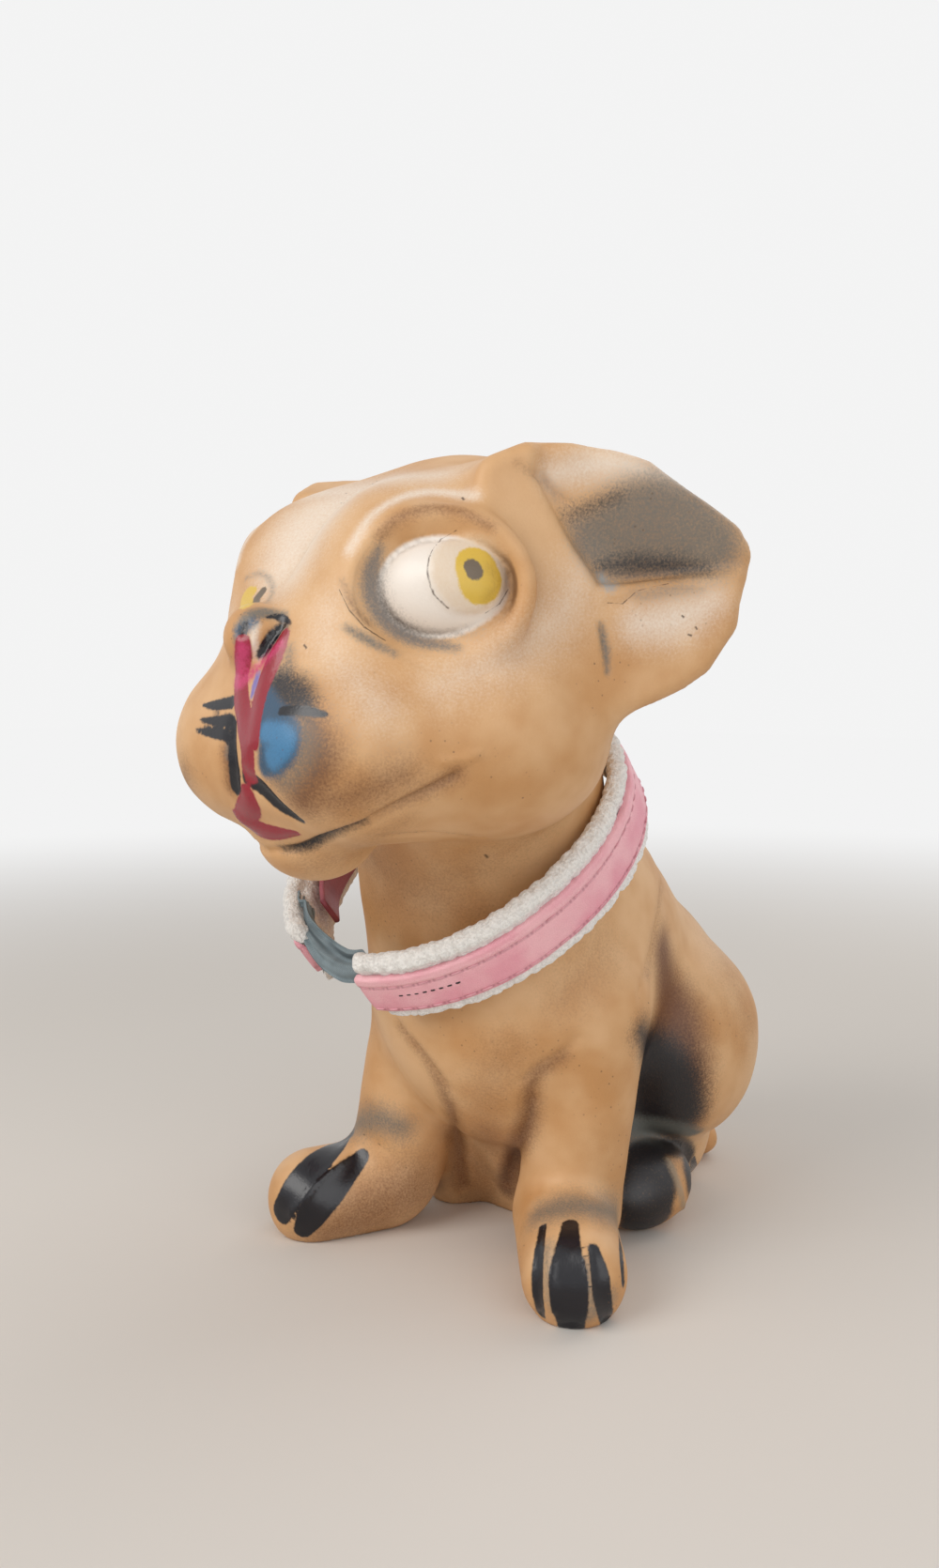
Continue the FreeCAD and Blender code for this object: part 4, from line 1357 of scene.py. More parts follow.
def grain_effect(detail: float = 3.0, dot: Pair = (0.16, 0.06), rare: Pair = (0.52, 0.68)) -> Tree:
    """Uneven ground of a handled surface: fine grain, slow mottle and rare specks.

    Args:
        detail: octaves of both noises.
        dot: distances from a speck's middle over which it fades in.
        rare: values of a slow noise over which specks come to be allowed.
    """
    effect = SharedEffect(
        "grain", {"Place": "Vector", "Fine Scale": "Float", "Slow Scale": "Float", "Speck Scale": "Float"},
        {"Fine": "Float", "Slow": "Float", "Specks": "Float"},
    )
    sheet, given = effect.sheet, effect.inputs
    fine = sheet.noise(given["Place"], given["Fine Scale"], detail, 0.6)
    slow = sheet.noise(given["Place"], given["Slow Scale"], detail, 0.55)
    voronoi = {"Vector": given["Place"], "Scale": given["Speck Scale"]}
    dots = sheet.add("TexVoronoi", voronoi).outputs["Distance"]
    allowed = sheet.step(sheet.noise(given["Place"], given["Slow Scale"], 1.0), *rare)
    specks = sheet.math("MULTIPLY", sheet.step(dots, *dot), allowed)
    return effect.give(Fine=fine, Slow=slow, Specks=specks)


def edge_effect(detail: float = 3.0, rough: float = 0.65) -> Tree:
    """Hand-painted edge: how far inside a coat a place is, made ragged and then stepped."""
    effect = SharedEffect(
        "painted edge",
        {"Place": "Vector", "Reach": "Float", "Edge": "Float", "Wobble": "Float", "Wobble Scale": "Float"},
        {"Mask": "Float"},
    )
    sheet, given = effect.sheet, effect.inputs
    wave = sheet.noise(given["Place"], given["Wobble Scale"], detail, rough)
    reach = sheet.swing(wave, given["Wobble"], given["Reach"])
    back = sheet.math("MULTIPLY", given["Edge"], -1.0)
    return effect.give(Mask=sheet.step(reach, back, given["Edge"]))


def hairline_effect(fade: Pair = (0.5, 1.6)) -> Tree:
    """Thin line between two places: full on the line, and faded out past its half width."""
    effect = SharedEffect(
        "hairline",
        {"Place": "Vector", "Start": "Vector", "Run": "Vector", "Half Width": "Float", "Ragged": "Float"},
        {"Mask": "Float"},
    )
    sheet, given = effect.sheet, effect.inputs
    offset = sheet.vector("SUBTRACT", given["Place"], given["Start"]).outputs[0]
    along = sheet.vector("DOT_PRODUCT", offset, given["Run"]).outputs["Value"]
    whole = sheet.vector("DOT_PRODUCT", given["Run"], given["Run"]).outputs["Value"]
    share = sheet.math("DIVIDE", along, whole, clamp=True)
    nearest = sheet.add("VectorMath", {0: given["Run"], "Scale": share}, operation="SCALE").outputs[0]
    gap = sheet.vector("LENGTH", sheet.vector("SUBTRACT", offset, nearest).outputs[0]).outputs["Value"]
    share = sheet.math("ADD", sheet.math("DIVIDE", gap, given["Half Width"]), given["Ragged"])
    return effect.give(Mask=sheet.rest(sheet.step(share, *fade)))


@dataclass
class Effects:
    """The shared node groups, built once."""

    grain: Tree = field(default_factory=grain_effect)
    edge: Tree = field(default_factory=edge_effect)
    hairline: Tree = field(default_factory=hairline_effect)

    def grained(self, sheet: NodeSheet, place: Socket, scales: Vec) -> bpy.types.bpy_prop_collection:
        """Place the grain group at its fine, slow and speck scales, in cycles a metre."""
        fine, slow, speck = scales
        node = sheet.group(self.grain, Place=place, Fine_Scale=fine, Slow_Scale=slow, Speck_Scale=speck)
        return node.outputs


def start_material(name: str) -> tuple[Material, NodeSheet, Node, Socket]:
    """New material with its shader ready.

    Args:
        name: name of the finish.

    Returns:
        The material, its node sheet, its Principled shader and the place on the object.
    """
    material = bpy.data.materials.new(name)
    material.use_nodes = True
    sheet = NodeSheet(material.node_tree)
    shader = material.node_tree.nodes["Principled BSDF"]
    place = sheet.add("TexCoord").outputs["Object"]
    return material, sheet, shader, place


@dataclass(frozen=True)
class PlasterFinish:
    """Painted plaster: a buff ground, sprayed coats that include painted highlight and painted shade,
    hand-laid gloss colours, and painted shade in the creases.
    """

    ground: str = "#dab082"
    warm: str = "#c4905a"
    # Dark colour of the painted shade in the creases, and of the specks.
    shade_and_speck: str = "#5d4330"
    line_colour: str = "#3a2618"
    roughness: float = 0.52
    scales: Vec = (1600.0, 38.0, 420.0)
    wobble_scale: float = 900.0
    warm_span: Pair = (0.3, 0.72)
    mist_edge: float = 0.1
    crease_shade_span: Pair = (0.25, 1.0)
    crease_shade_share: float = 0.6
    speck_share: float = 0.6
    line_share: float = 0.85
    mottle: float = 0.16
    mottle_share: float = 0.35
    slow_height: float = 2.0
    gloss_swing: float = 0.12
    relief: Pair = (0.35, 0.00018)

    def make(self, lines: Sequence[tuple[Array, Array, float]], effects: Effects) -> Material:
        """Material of the casting.

        Args:
            lines: start, run and half width of each thin line, in metres.
            effects: shared node groups.

        Returns:
            The material.
        """
        material, sheet, shader, place = start_material("painted plaster")
        grain = effects.grained(sheet, place, self.scales)
        fine = grain["Fine"]
        colour = sheet.mix(sheet.step(grain["Slow"], *self.warm_span), tone(self.ground), tone(self.warm))
        roughness: Value = self.roughness
        for layer in LAYERS:
            reach = sheet.attribute(layer.coat.value)
            if layer.misty:
                speckled = sheet.step(sheet.swing(fine, layer.wobble, reach), 0.0, 1.0)
                mask = sheet.math("MULTIPLY", speckled, sheet.step(reach, 0.0, self.mist_edge))
            else:
                mask = sheet.group(
                    effects.edge, Place=place, Reach=reach, Edge=layer.edge, Wobble=layer.wobble,
                    Wobble_Scale=self.wobble_scale,
                ).outputs["Mask"]
            colour = sheet.mix(mask, colour, tone(layer.colour))
            roughness = sheet.blend(mask, roughness, layer.roughness)
        shade_and_speck = tone(self.shade_and_speck)
        # Painted shade: darker where the surface is hollow, in its creases and recesses.
        crease = sheet.step(sheet.attribute("crease"), *self.crease_shade_span)
        colour = sheet.tint(colour, crease, self.crease_shade_share, shade_and_speck, "MULTIPLY")
        colour = sheet.tint(colour, grain["Specks"], self.speck_share, shade_and_speck)
        drawn: Value = 0.0
        for start, run, half in lines:
            mask = sheet.group(
                effects.hairline, Place=place, Start=tuple(start), Run=tuple(run), Half_Width=half,
                Ragged=fine,
            ).outputs["Mask"]
            drawn = sheet.math("MAXIMUM", drawn, mask)
        colour = sheet.tint(colour, drawn, self.line_share, tone(self.line_colour))
        mottle = sheet.swing(fine, self.mottle, 0.5)
        grey = sheet.add("CombineColor", {0: mottle, 1: mottle, 2: mottle}).outputs[0]
        colour = sheet.mix(self.mottle_share, colour, grey, "OVERLAY")
        height = sheet.math("MULTIPLY_ADD", grain["Slow"], self.slow_height, fine)
        sheet.finish(shader, colour, sheet.swing(fine, self.gloss_swing, roughness), self.relief, height)
        return material


@dataclass(frozen=True)
class LeatherFinish:
    """Soft dyed leather with fine pores, edges paler for rubbed wear and painted highlight, and needle holes
    along its rows darkened as painted shade.
    """

    name: str
    colour: str = "#eea2b1"
    pale: str = "#f8bfc6"
    deep: str = "#c97c8c"
    hole: str = "#9a5566"
    rows: tuple[float, ...] = (3.35, -5.45)
    pitch: float = 4.9
    roughness: float = 0.48
    scales: Vec = (2600.0, 70.0, 500.0)
    pore_scale: float = 1900.0
    pore_share: float = 0.25
    pore_span: Pair = (0.12, 0.0)
    pore_rise: float = 0.25
    pale_span: Pair = (0.35, 0.7)
    rub_span: Pair = (0.35, 0.6)
    dent_span: Pair = (0.15, 0.75)
    hole_place: float = 0.36
    hole_span: Pair = (0.03, 0.12)
    hole_share: Pair = (0.3, 0.25)
    mark_depth: float = 1.5
    gloss_swing: float = 0.16
    relief: Pair = (0.5, 0.00012)

    def make(self, effects: Effects) -> Material:
        """Material of the strap and its tail."""
        material, sheet, shader, place = start_material(self.name)
        grain = effects.grained(sheet, place, self.scales)
        voronoi = {"Vector": place, "Scale": self.pore_scale}
        pores = sheet.add("TexVoronoi", voronoi, feature="DISTANCE_TO_EDGE").outputs["Distance"]
        pale = tone(self.pale)
        colour = sheet.mix(sheet.step(grain["Slow"], *self.pale_span), tone(self.colour), pale)
        colour = sheet.tint(colour, sheet.step(pores, *self.pore_span), self.pore_share, tone(self.deep))
        # Paler colour along the edges and on the bead: rubbed wear, partly painted highlight.
        rub_and_highlight = sheet.math("MULTIPLY", sheet.attribute("rub_and_highlight"), sheet.step(grain["Fine"], *self.rub_span))
        colour = sheet.mix(rub_and_highlight, colour, pale)
        flat = sheet.flat_map()
        along = sheet.math("FRACT", sheet.math("DIVIDE", flat[0], self.pitch * MM))
        # Needle holes along each row, painted darker as painted shade in the holes.
        hole = sheet.rest(sheet.step(sheet.apart(sheet.apart(along, 0.5), self.hole_place), *self.hole_span))
        marks: Value = 0.0
        for row in self.rows:
            near, far = self.dent_span
            dent = sheet.rest(sheet.step(sheet.apart(flat[1], row * MM), near * MM, far * MM))
            mark = sheet.math("MULTIPLY", dent, sheet.math("MULTIPLY_ADD", hole, *self.hole_share))
            marks = sheet.math("MAXIMUM", marks, mark)
        colour = sheet.mix(marks, colour, tone(self.hole))
        height = sheet.math("ADD", sheet.step(pores, 0.0, self.pore_rise), grain["Fine"])
        height = sheet.math("SUBTRACT", height, sheet.math("MULTIPLY", marks, self.mark_depth))
        roughness = sheet.swing(grain["Fine"], self.gloss_swing, self.roughness)
        sheet.finish(shader, colour, roughness, self.relief, height)
        return material


@dataclass(frozen=True)
class FleeceFinish:
    """Curly off-white pile, with painted shade in its hollows and between its curls."""

    colour: str = "#f7f5f1"
    deep: str = "#bdb9b3"
    scales: Vec = (1500.0, 90.0, 600.0)
    curl_scale: float = 1300.0
    pile_span: Pair = (0.0, 0.5)
    curl_span: Pair = (0.45, 0.9)
    hollow_shade_share: float = 0.75
    curl_gap_shade_share: float = 0.35
    roughness: float = 0.95
    sheen: float = 0.5
    relief: Pair = (0.8, 0.0005)

    def make(self, effects: Effects) -> Material:
        """Material of the lining."""
        material, sheet, shader, place = start_material("white fleece")
        grain = effects.grained(sheet, place, self.scales)
        voronoi = {"Vector": place, "Scale": self.curl_scale, "Detail": 1.0}
        curls = sheet.add("TexVoronoi", voronoi, feature="SMOOTH_F1").outputs["Distance"]
        # Painted shade: greyer where the tufts are low and in the gaps between the curls.
        hollow = sheet.rest(sheet.step(sheet.attribute("pile"), *self.pile_span))
        hollow = sheet.math("MULTIPLY", hollow, self.hollow_shade_share)
        between = sheet.math("MULTIPLY", sheet.step(curls, *self.curl_span), self.curl_gap_shade_share)
        colour = sheet.mix(sheet.math("MAXIMUM", hollow, between), tone(self.colour), tone(self.deep))
        shader.inputs["Sheen Weight"].default_value = self.sheen
        shader.inputs["Sheen Roughness"].default_value = self.sheen
        height = sheet.math("SUBTRACT", grain["Fine"], curls)
        sheet.finish(shader, colour, self.roughness, self.relief, height)
        return material


@dataclass(frozen=True)
class WovenFinish:
    """Ribbed cloth or thread: fine ribs along the piece, with painted shade in its folds and between its
    ribs.
    """

    name: str
    colour: str
    deep: str
    rib: float = 0.45
    roughness: float = 0.85
    cross_pitch: float = 1.6
    scales: Vec = (3000.0, 160.0, 900.0)
    fold_share: float = 0.9
    weave_share: float = 0.4
    grime_span: Pair = (0.4, 0.7)
    grime_share: float = 0.3
    relief: Pair = (0.6, 0.00015)

    def make(self, effects: Effects) -> Material:
        """Material of the elastic or of a row of thread."""
        material, sheet, shader, place = start_material(self.name)
        grain = effects.grained(sheet, place, self.scales)
        flat = sheet.flat_map()
        wave = math.tau / (self.rib * MM)
        ribs = sheet.math("SINE", sheet.math("MULTIPLY", flat[1], wave))
        cross = sheet.math("SINE", sheet.math("MULTIPLY", flat[0], wave / self.cross_pitch))
        weave = sheet.math("MULTIPLY_ADD", sheet.math("MULTIPLY", ribs, cross), 0.5, 0.5)
        # Painted shade: darker in the elastic's folds and in the low places of the weave.
        fold = sheet.math("MULTIPLY", sheet.attribute("fold"), self.fold_share)
        shade = sheet.math("MAXIMUM", fold, sheet.math("MULTIPLY", sheet.rest(weave), self.weave_share))
        deep = tone(self.deep)
        colour = sheet.mix(shade, tone(self.colour), deep)
        colour = sheet.tint(colour, sheet.step(grain["Slow"], *self.grime_span), self.grime_share, deep)
        height = sheet.math("ADD", weave, grain["Fine"])
        sheet.finish(shader, colour, self.roughness, self.relief, height)
        return material


@dataclass(frozen=True)
class FloorFinish:
    """Plain pale floor that takes the object's shadow and fades into the pale surround."""

    colour: str = "#dcd6cf"
    far_colour: str = "#f3f3f3"
    fade: Pair = (0.3, 1.1)
    roughness: float = 0.9

    def make(self) -> Material:
        """Material of the floor, whose far part shows the camera the surround's colour."""
        material, sheet, shader, place = start_material("pale floor")
        away = sheet.step(sheet.vector("LENGTH", place).outputs["Value"], *self.fade)
        share = sheet.math("MULTIPLY", away, sheet.add("LightPath").outputs["Is Camera Ray"])
        black = tone("#000000")
        sheet.fill(shader.inputs["Base Color"], sheet.mix(share, tone(self.colour), black))
        sheet.fill(shader.inputs["Emission Color"], sheet.mix(share, black, tone(self.far_colour)))
        shader.inputs["Emission Strength"].default_value = 1.0
        shader.inputs["Roughness"].default_value = self.roughness
        shader.inputs["Specular IOR Level"].default_value = 0.0
        return material


# The figure


@dataclass
class PlasterFigure:
    """The painted casting: its form, its carving and its coats of paint."""

    sculpture: Sculpture = Sculpture()
    camera: PhotoCamera = PhotoCamera()
    face: FaceStrokes = FaceStrokes()
    body: BodyStrokes = BodyStrokes()
    hairlines: Hairlines = Hairlines()
    crease_reach: float = 5.0
    cornea_height: float = 0.8
    cornea_edge: float = 0.9
    groove_sharpness: float = 1.2
    least_half: float = 0.9
    unevenness: float = 0.22
    uneven_cell: float = 9.0
    base_band: float = 1.0
    hollow_margin: float = 2.0
    cover_span: Pair = (-4.0, 8.0)
    white_rim: float = 0.9
    settle_rounds: int = 2
    settle_step: float = 0.7

    def strokes(self) -> list[Stroke]:
        """Every stroke of the face and the body."""
        return [*vars(self.face).values(), *vars(self.body).values()]

    def laid(self) -> Laid:
        """Strokes carried from the photograph's pixels on to the surface, on each side."""
        wanted = list(dict.fromkeys(self.strokes()))
        curves = [stroke.smoothed() for stroke in wanted]
        pixels = np.concatenate(curves)
        places, size = self.camera.lay(pixels[:, :2], self.sculpture.distance)
        half = pixels[:, 2] * size / 2
        found: Laid = {}
        start = 0
        for stroke, curve in zip(wanted, curves):
            part = slice(start, start + len(curve))
            start += len(curve)
            lines = [places[part]]
            if stroke.sides is Sides.HEAD_PAIR:
                lines.append(self.sculpture.head.mirrored(places[part]))
            elif stroke.sides is Sides.BODY_PAIR:
                lines.append(Body.mirrored(places[part]))
            found[stroke] = [LaidStroke(line, half[part]) for line in lines]
        return found

    def carved(self, vertices: Array, normals: Array, laid: Laid) -> Array:
        """Vertices moved in at the grooves and out at the raised strokes.

        A groove's section is a bell: depth times e to the minus square of the distance
        from its line over its half width. The base and the inner hollow stay as they are.
        """
        moved = np.zeros(len(vertices))
        for stroke in self.strokes():
            if not stroke.depth:
                continue
            for line in laid[stroke]:
                half = line.half.mean()
                outside = np.maximum(half - line.reach(vertices), 0.0) / max(half, self.least_half)
                moved -= stroke.depth * np.exp(-np.square(outside) * self.groove_sharpness)
        for line in laid[self.face.cornea]:
            moved += self.cornea_height * smooth_step(line.reach(vertices) / self.cornea_edge + 0.5)
        moved += self.unevenness * NOISE.smooth(vertices, self.uneven_cell)
        inner = self.sculpture.hollow.distance(vertices.astype(np.float32)) < self.hollow_margin
        moved[inner | (vertices[:, 2] < self.base_band)] = 0.0
        return vertices + normals * moved[:, None]

    def painted(self, piece: Object, vertices: Array, laid: Laid) -> None:
        """Keep how far each vertex lies inside each coat, or how much of a sprayed one it has."""
        least, most = self.cover_span
        for layer in LAYERS:
            cover = np.full(len(vertices), 0.0 if layer.misty else least)
            for stroke in self.strokes():
                if stroke.coat is not layer.coat:
                    continue
                for line in laid[stroke]:
                    reach = line.reach(vertices)
                    if layer.misty:
                        reach = stroke.strength * smooth_step(reach / (2 * stroke.soft or 2.0) + 0.5)
                    cover = np.maximum(cover, reach)
            if layer.coat is Coat.WHITE:
                eye = self.sculpture.head.eye
                local = eye.local(both_sides(self.sculpture.head.local(vertices.astype(np.float32))))
                cover = self.white_rim - np.abs(eye.ball.distance(local))
            add_attribute(piece, layer.coat.value, np.clip(cover, least, most))

    def thin_lines(self, laid: Laid) -> list[tuple[Array, Array, float]]:
        """Start, run and half width in metres of every hairline, laid on the carved form."""
        found = []
        for places in vars(self.hairlines).values():
            pixels = np.array(places, float)
            points, size = self.camera.lay(pixels[:, :2], self.sculpture.distance)
            points = self.carved(points, self.sculpture.normals(points), laid)
            for start, end, wide in zip(points, points[1:], pixels[:, 2] * size):
                found.append((start * MM, (end - start) * MM, float(wide) * MM / 2))
        return found

    def build(self, effects: Effects) -> Object:
        """Make the casting, carve it, paint it and dress it."""
        vertices, faces = Skin(self.sculpture.distance).build()
        for _ in range(self.settle_rounds):
            normals = self.sculpture.normals(vertices)
            gap = self.sculpture.distance(vertices)
            vertices = vertices - normals * np.clip(gap, -self.settle_step, self.settle_step)[:, None]
        laid = self.laid()
        # How far the form closes in ahead of each vertex, kept as crease: the mask of the painted shade in
        # creases and recesses.
        ahead = self.sculpture.distance(vertices + normals * self.crease_reach)
        shaped = self.carved(vertices, normals, laid)
        shaped[:, 2] = np.maximum(shaped[:, 2], 0.0)
        piece = new_object("painted_casting", shaped, faces)
        add_attribute(piece, "crease", np.clip(1.0 - ahead / self.crease_reach, 0.0, 1.0))
        self.painted(piece, vertices, laid)
        piece.data.materials.append(PlasterFinish().make(self.thin_lines(laid), effects))
        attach(piece, "figure")
        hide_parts("plaster_casting")
        log.info("%s: %d vertices, %d faces", piece.name, len(shaped), len(faces))
        return piece


# The collar


@dataclass(frozen=True)
class Ease:
    """Number that goes smoothly from one value to another between two angles, in degrees."""

    start: float
    end: float
    before: float = 0.0
    after: float = 1.0

    def at(self, angle: Array) -> Array:
        """The number at each angle."""
        share = smooth_step((angle - self.start) / (self.end - self.start))
        return self.before + (self.after - self.before) * share


@dataclass(frozen=True)
class LeatherForm:
    """Modelling of the strap: its crown, beaded edge, dents and ripple, in millimetres."""

    start: float = 0.7
    sections: int = 620
    corner: float = 0.8
    places: int = 72
    crown: float = 0.22
    bead: float = 0.30
    bead_place: Pair = (0.2, 0.7)
    dent: float = 0.24
    dent_width: float = 0.55
    dent_share: Pair = (0.6, 0.4)
    ripple: float = 0.12
    ripple_cell: float = 6.0
    edge_rub_and_highlight: Vec = (0.8, 0.86, 0.14)
    bead_rub_and_highlight: Vec = (0.35, 0.15, 0.15)


@dataclass(frozen=True)
class FleeceForm:
    """Modelling of the lining: its soft section, its lean and its tufts, in millimetres."""

    start: float = 3.0
    overhang: float = 2.0
    sections: int = 660
    places: int = 116
    thinner: float = 0.6
    lower: float = 1.2
    corner: float = 1.6
    lean: float = 1.5
    lean_reach: float = 2.5
    squeeze: Pair = (0.55, 0.7)
    big_tufts: Pair = (1.0, 2.9)
    small_tufts: Pair = (0.35, 1.2)
    shift: float = 7.0
    squareness: int = 5
    under_margin: float = 0.5
    puff: float = 1.25


@dataclass(frozen=True)
class ElasticForm:
    """Modelling of the elastic: its course over the gap and its folds, in millimetres."""

    start: float = -59.0
    end: float = 4.0
    sections: int = 220
    thickness: float = 1.2
    corner: float = 0.5
    places: int = 60
    half: Ease = Ease(-54.0, -24.0, 2.4, 4.7)
    centre: Ease = Ease(-54.0, -8.0, 8.6, 3.6)
    roll_in: Ease = Ease(-51.0, -37.0, 0.0, 58.0)
    roll_out: Ease = Ease(-13.0, -1.0, 1.0, 0.0)
    inside: float = 1.3
    lift: Ease = Ease(-54.5, -51.0, 2.6, 0.0)
    bulge_in: Ease = Ease(-50.0, -38.0, 0.0, 2.0)
    bulge_out: Ease = Ease(-16.0, -6.0, 1.0, 0.0)
    broad_fold: Pair = (5.2, 4.0)
    broad_height: Pair = (0.35, 0.4)
    fine_fold: Pair = (11.0, -7.0)
    fine_height: float = 0.35
    fold_height: float = 1.15
    fold_shade: float = 0.8


@dataclass(frozen=True)
class TailForm:
    """Modelling of the strap's tucked tail, in millimetres."""

    start: float = -88.0
    end: float = -55.0
    sections: int = 90
    thickness: float = 1.7
    width: float = 11.0
    corner: float = 0.6
    places: int = 52
    inside: float = 3.4
    sag: float = 1.6
    height: float = 1.1
    rise: float = 0.6
    narrowing: float = 0.1
    rub_and_highlight: Vec = (0.6, 0.85, 0.15)
    end_rub_and_highlight: float = 0.3


@dataclass(frozen=True)
class ThreadForm:
    """Modelling of one stitch: its length, its half thickness and its bent ends."""

    long: float = 3.3
    short: float = 1.7
    half: float = 0.27
    blunt: float = 0.04
    proud: float = 0.16
    dip: float = 0.22
    rings: int = 7
    sides: int = 7


@dataclass(frozen=True)
class StitchRow:
    """Row of stitches: its name, the node it stands for, its places and its thread."""

    name: str
    node: str
    runs: Array
    heights: Array
    length: float
    finish: Material
    slot: str
    upright: bool = False


def capped(values: Array, cap: float = 0.5) -> Array:
    """Values at a band's places, with one more for the middle of each end."""
    return np.append(values, [cap, cap])


def wear_and_highlight(share: Array, rub_and_highlight: Vec) -> Array:
    """How much paler a place is, for rubbed wear and painted highlight: an amount, eased in from a start
    over a span.
    """
    amount, start, span = rub_and_highlight
    return amount * smooth_step((share - start) / span)


@dataclass
class Collar:
    """Loose collar: its ring, its strap, its lining, its elastic and its thread."""

    centre: Vec = (-8.6, -42.3, 119.4)
    tilt: float = 38.0
    roll: float = 8.0
    bore: float = 50.0
    lining_thickness: float = 4.0
    strap_thickness: float = 2.2
    strap_width: float = 13.5
    lining_above: float = 5.5
    lining_below: float = 3.0
    near_end: float = -4.0
    gap: float = 36.0
    rows: Pair = (3.35, -5.45)
    pitch: float = 4.9
    sway: Places = ((0.35, 2, 0.6), (0.2, 5, 1.9))
    seam_slack: float = 2.0
    row_margin: float = 4.0
    near_run: Pair = (12.0, 20.0)
    near_count: int = 8
    far_inset: float = 2.0
    far_heights: Vec = (-3.0, 0.0, 3.0)
    leather: LeatherForm = LeatherForm()
    fleece: FleeceForm = FleeceForm()
    puckers: ElasticForm = ElasticForm()
    tucked: TailForm = TailForm()
    stitch: ThreadForm = ThreadForm()

    def axes(self) -> Array:
        """Directions of the ring's own x, y and z in the row frame, as rows."""
        tilt, roll = math.radians(self.tilt), math.radians(-self.roll)
        cos, sin = math.cos(tilt), math.sin(tilt)
        about_x = np.array([[1, 0, 0], [0, cos, -sin], [0, sin, cos]])
        cos, sin = math.cos(roll), math.sin(roll)
        about_y = np.array([[cos, 0, sin], [0, 1, 0], [-sin, 0, cos]])
        return (about_x @ about_y).T

    def placed(self, angle: Array, radius: Array, height: Array) -> Array:
        """Places on the ring, from degrees round from its front, radius and height."""
        turn = np.radians(angle)
        ring = np.stack(np.broadcast_arrays(radius * np.sin(turn), -radius * np.cos(turn), height), axis=-1)
        return ring @ self.axes() + np.array(self.centre)

    @property
    def leather_face(self) -> float:
        """Radius of the strap's outer face."""
        return self.bore + self.lining_thickness + self.strap_thickness

    @property
    def strap_sweep(self) -> float:
        """Degrees that the strap goes round."""
        return 360.0 - math.degrees(self.gap / self.leather_face)

    def run(self, angle: Array) -> Array:
        """Millimetres along the strap's outer face from its near end."""
        return np.radians(angle - self.near_end) * self.leather_face

    def band(self, name: str, angle: Array, radius: Array, height: Array) -> Object:
        """Band round the ring through sections of radius and height, with a flat map.

        Args:
            name: name of the piece.
            angle: degrees of each section, n.
            radius: radius of each place of each section, n by m.
            height: height of each place of each section, n by m.

        Returns:
            The piece, whose map holds the run along the strap and the height.
        """
        vertices, faces = tube(self.placed(angle[:, None], radius, height))
        piece = new_object(name, vertices, faces)
        local = (vertices - np.array(self.centre)) @ self.axes().T
        around = np.degrees(np.arctan2(local[:, 0], -local[:, 1]))
        around = np.where(around < angle.min() - self.seam_slack, around + 360.0, around)
        add_uv(piece, self.run(around), local[:, 2])
        return piece

    def wave(self, angle: Array) -> Array:
        """Slow rise and fall of the well-used strap, in millimetres: a sum of two sines."""
        turn = np.radians(angle)
        return sum(rise * np.sin(times * turn + start) for rise, times, start in self.sway)

    def strap(self, finish: Material) -> Object:
        """Leather strap: a rounded flat section with a turned-over upper edge.

        The outer face stands proud by a crown that falls to the edges as 1 less the
        square of the height share, is dented along each row of thread in step with the
        stitches, and its upper edge above the upper row is a raised bead.
        """
        form = self.leather
        angle = self.near_end + np.linspace(form.start, self.strap_sweep, form.sections)
        section = rounded_section(self.strap_thickness, self.strap_width, form.corner, form.places)
        deep, tall = section.T
        middle = self.bore + self.lining_thickness + self.strap_thickness / 2
        share = np.clip(deep / (self.strap_thickness / 2), 0.0, 1.0)
        edge = np.abs(tall) / (self.strap_width / 2)
        crown = form.crown * (1.0 - np.square(edge))
        bead_start, bead_span = form.bead_place
        bead = form.bead * smooth_step((tall - self.rows[0] - bead_start) / bead_span)
        still, swing = form.dent_share
        stitch = still + swing * np.cos(math.tau * self.run(angle) / self.pitch)
        dent = sum(np.exp(-np.square((tall - row) / form.dent_width)) for row in self.rows)
        proud = share * (crown + bead)[None] - form.dent * (share * dent)[None] * stitch[:, None]
        ripple = form.ripple * NOISE.smooth(np.stack([self.run(angle)] * 3, axis=-1), form.ripple_cell)
        radius = middle + deep[None] + proud + ripple[:, None]
        piece = self.band("leather_strap", angle, radius, tall[None] + self.wave(angle)[:, None])
        # Paler edges and bead, for rubbed wear and painted highlight.
        rub_and_highlight = wear_and_highlight(edge, form.edge_rub_and_highlight) + wear_and_highlight(bead, form.bead_rub_and_highlight)
        add_attribute(piece, "rub_and_highlight", capped(np.tile(rub_and_highlight, len(angle))))
        return self.dress(piece, finish, "pink_leather", "collar_strap")

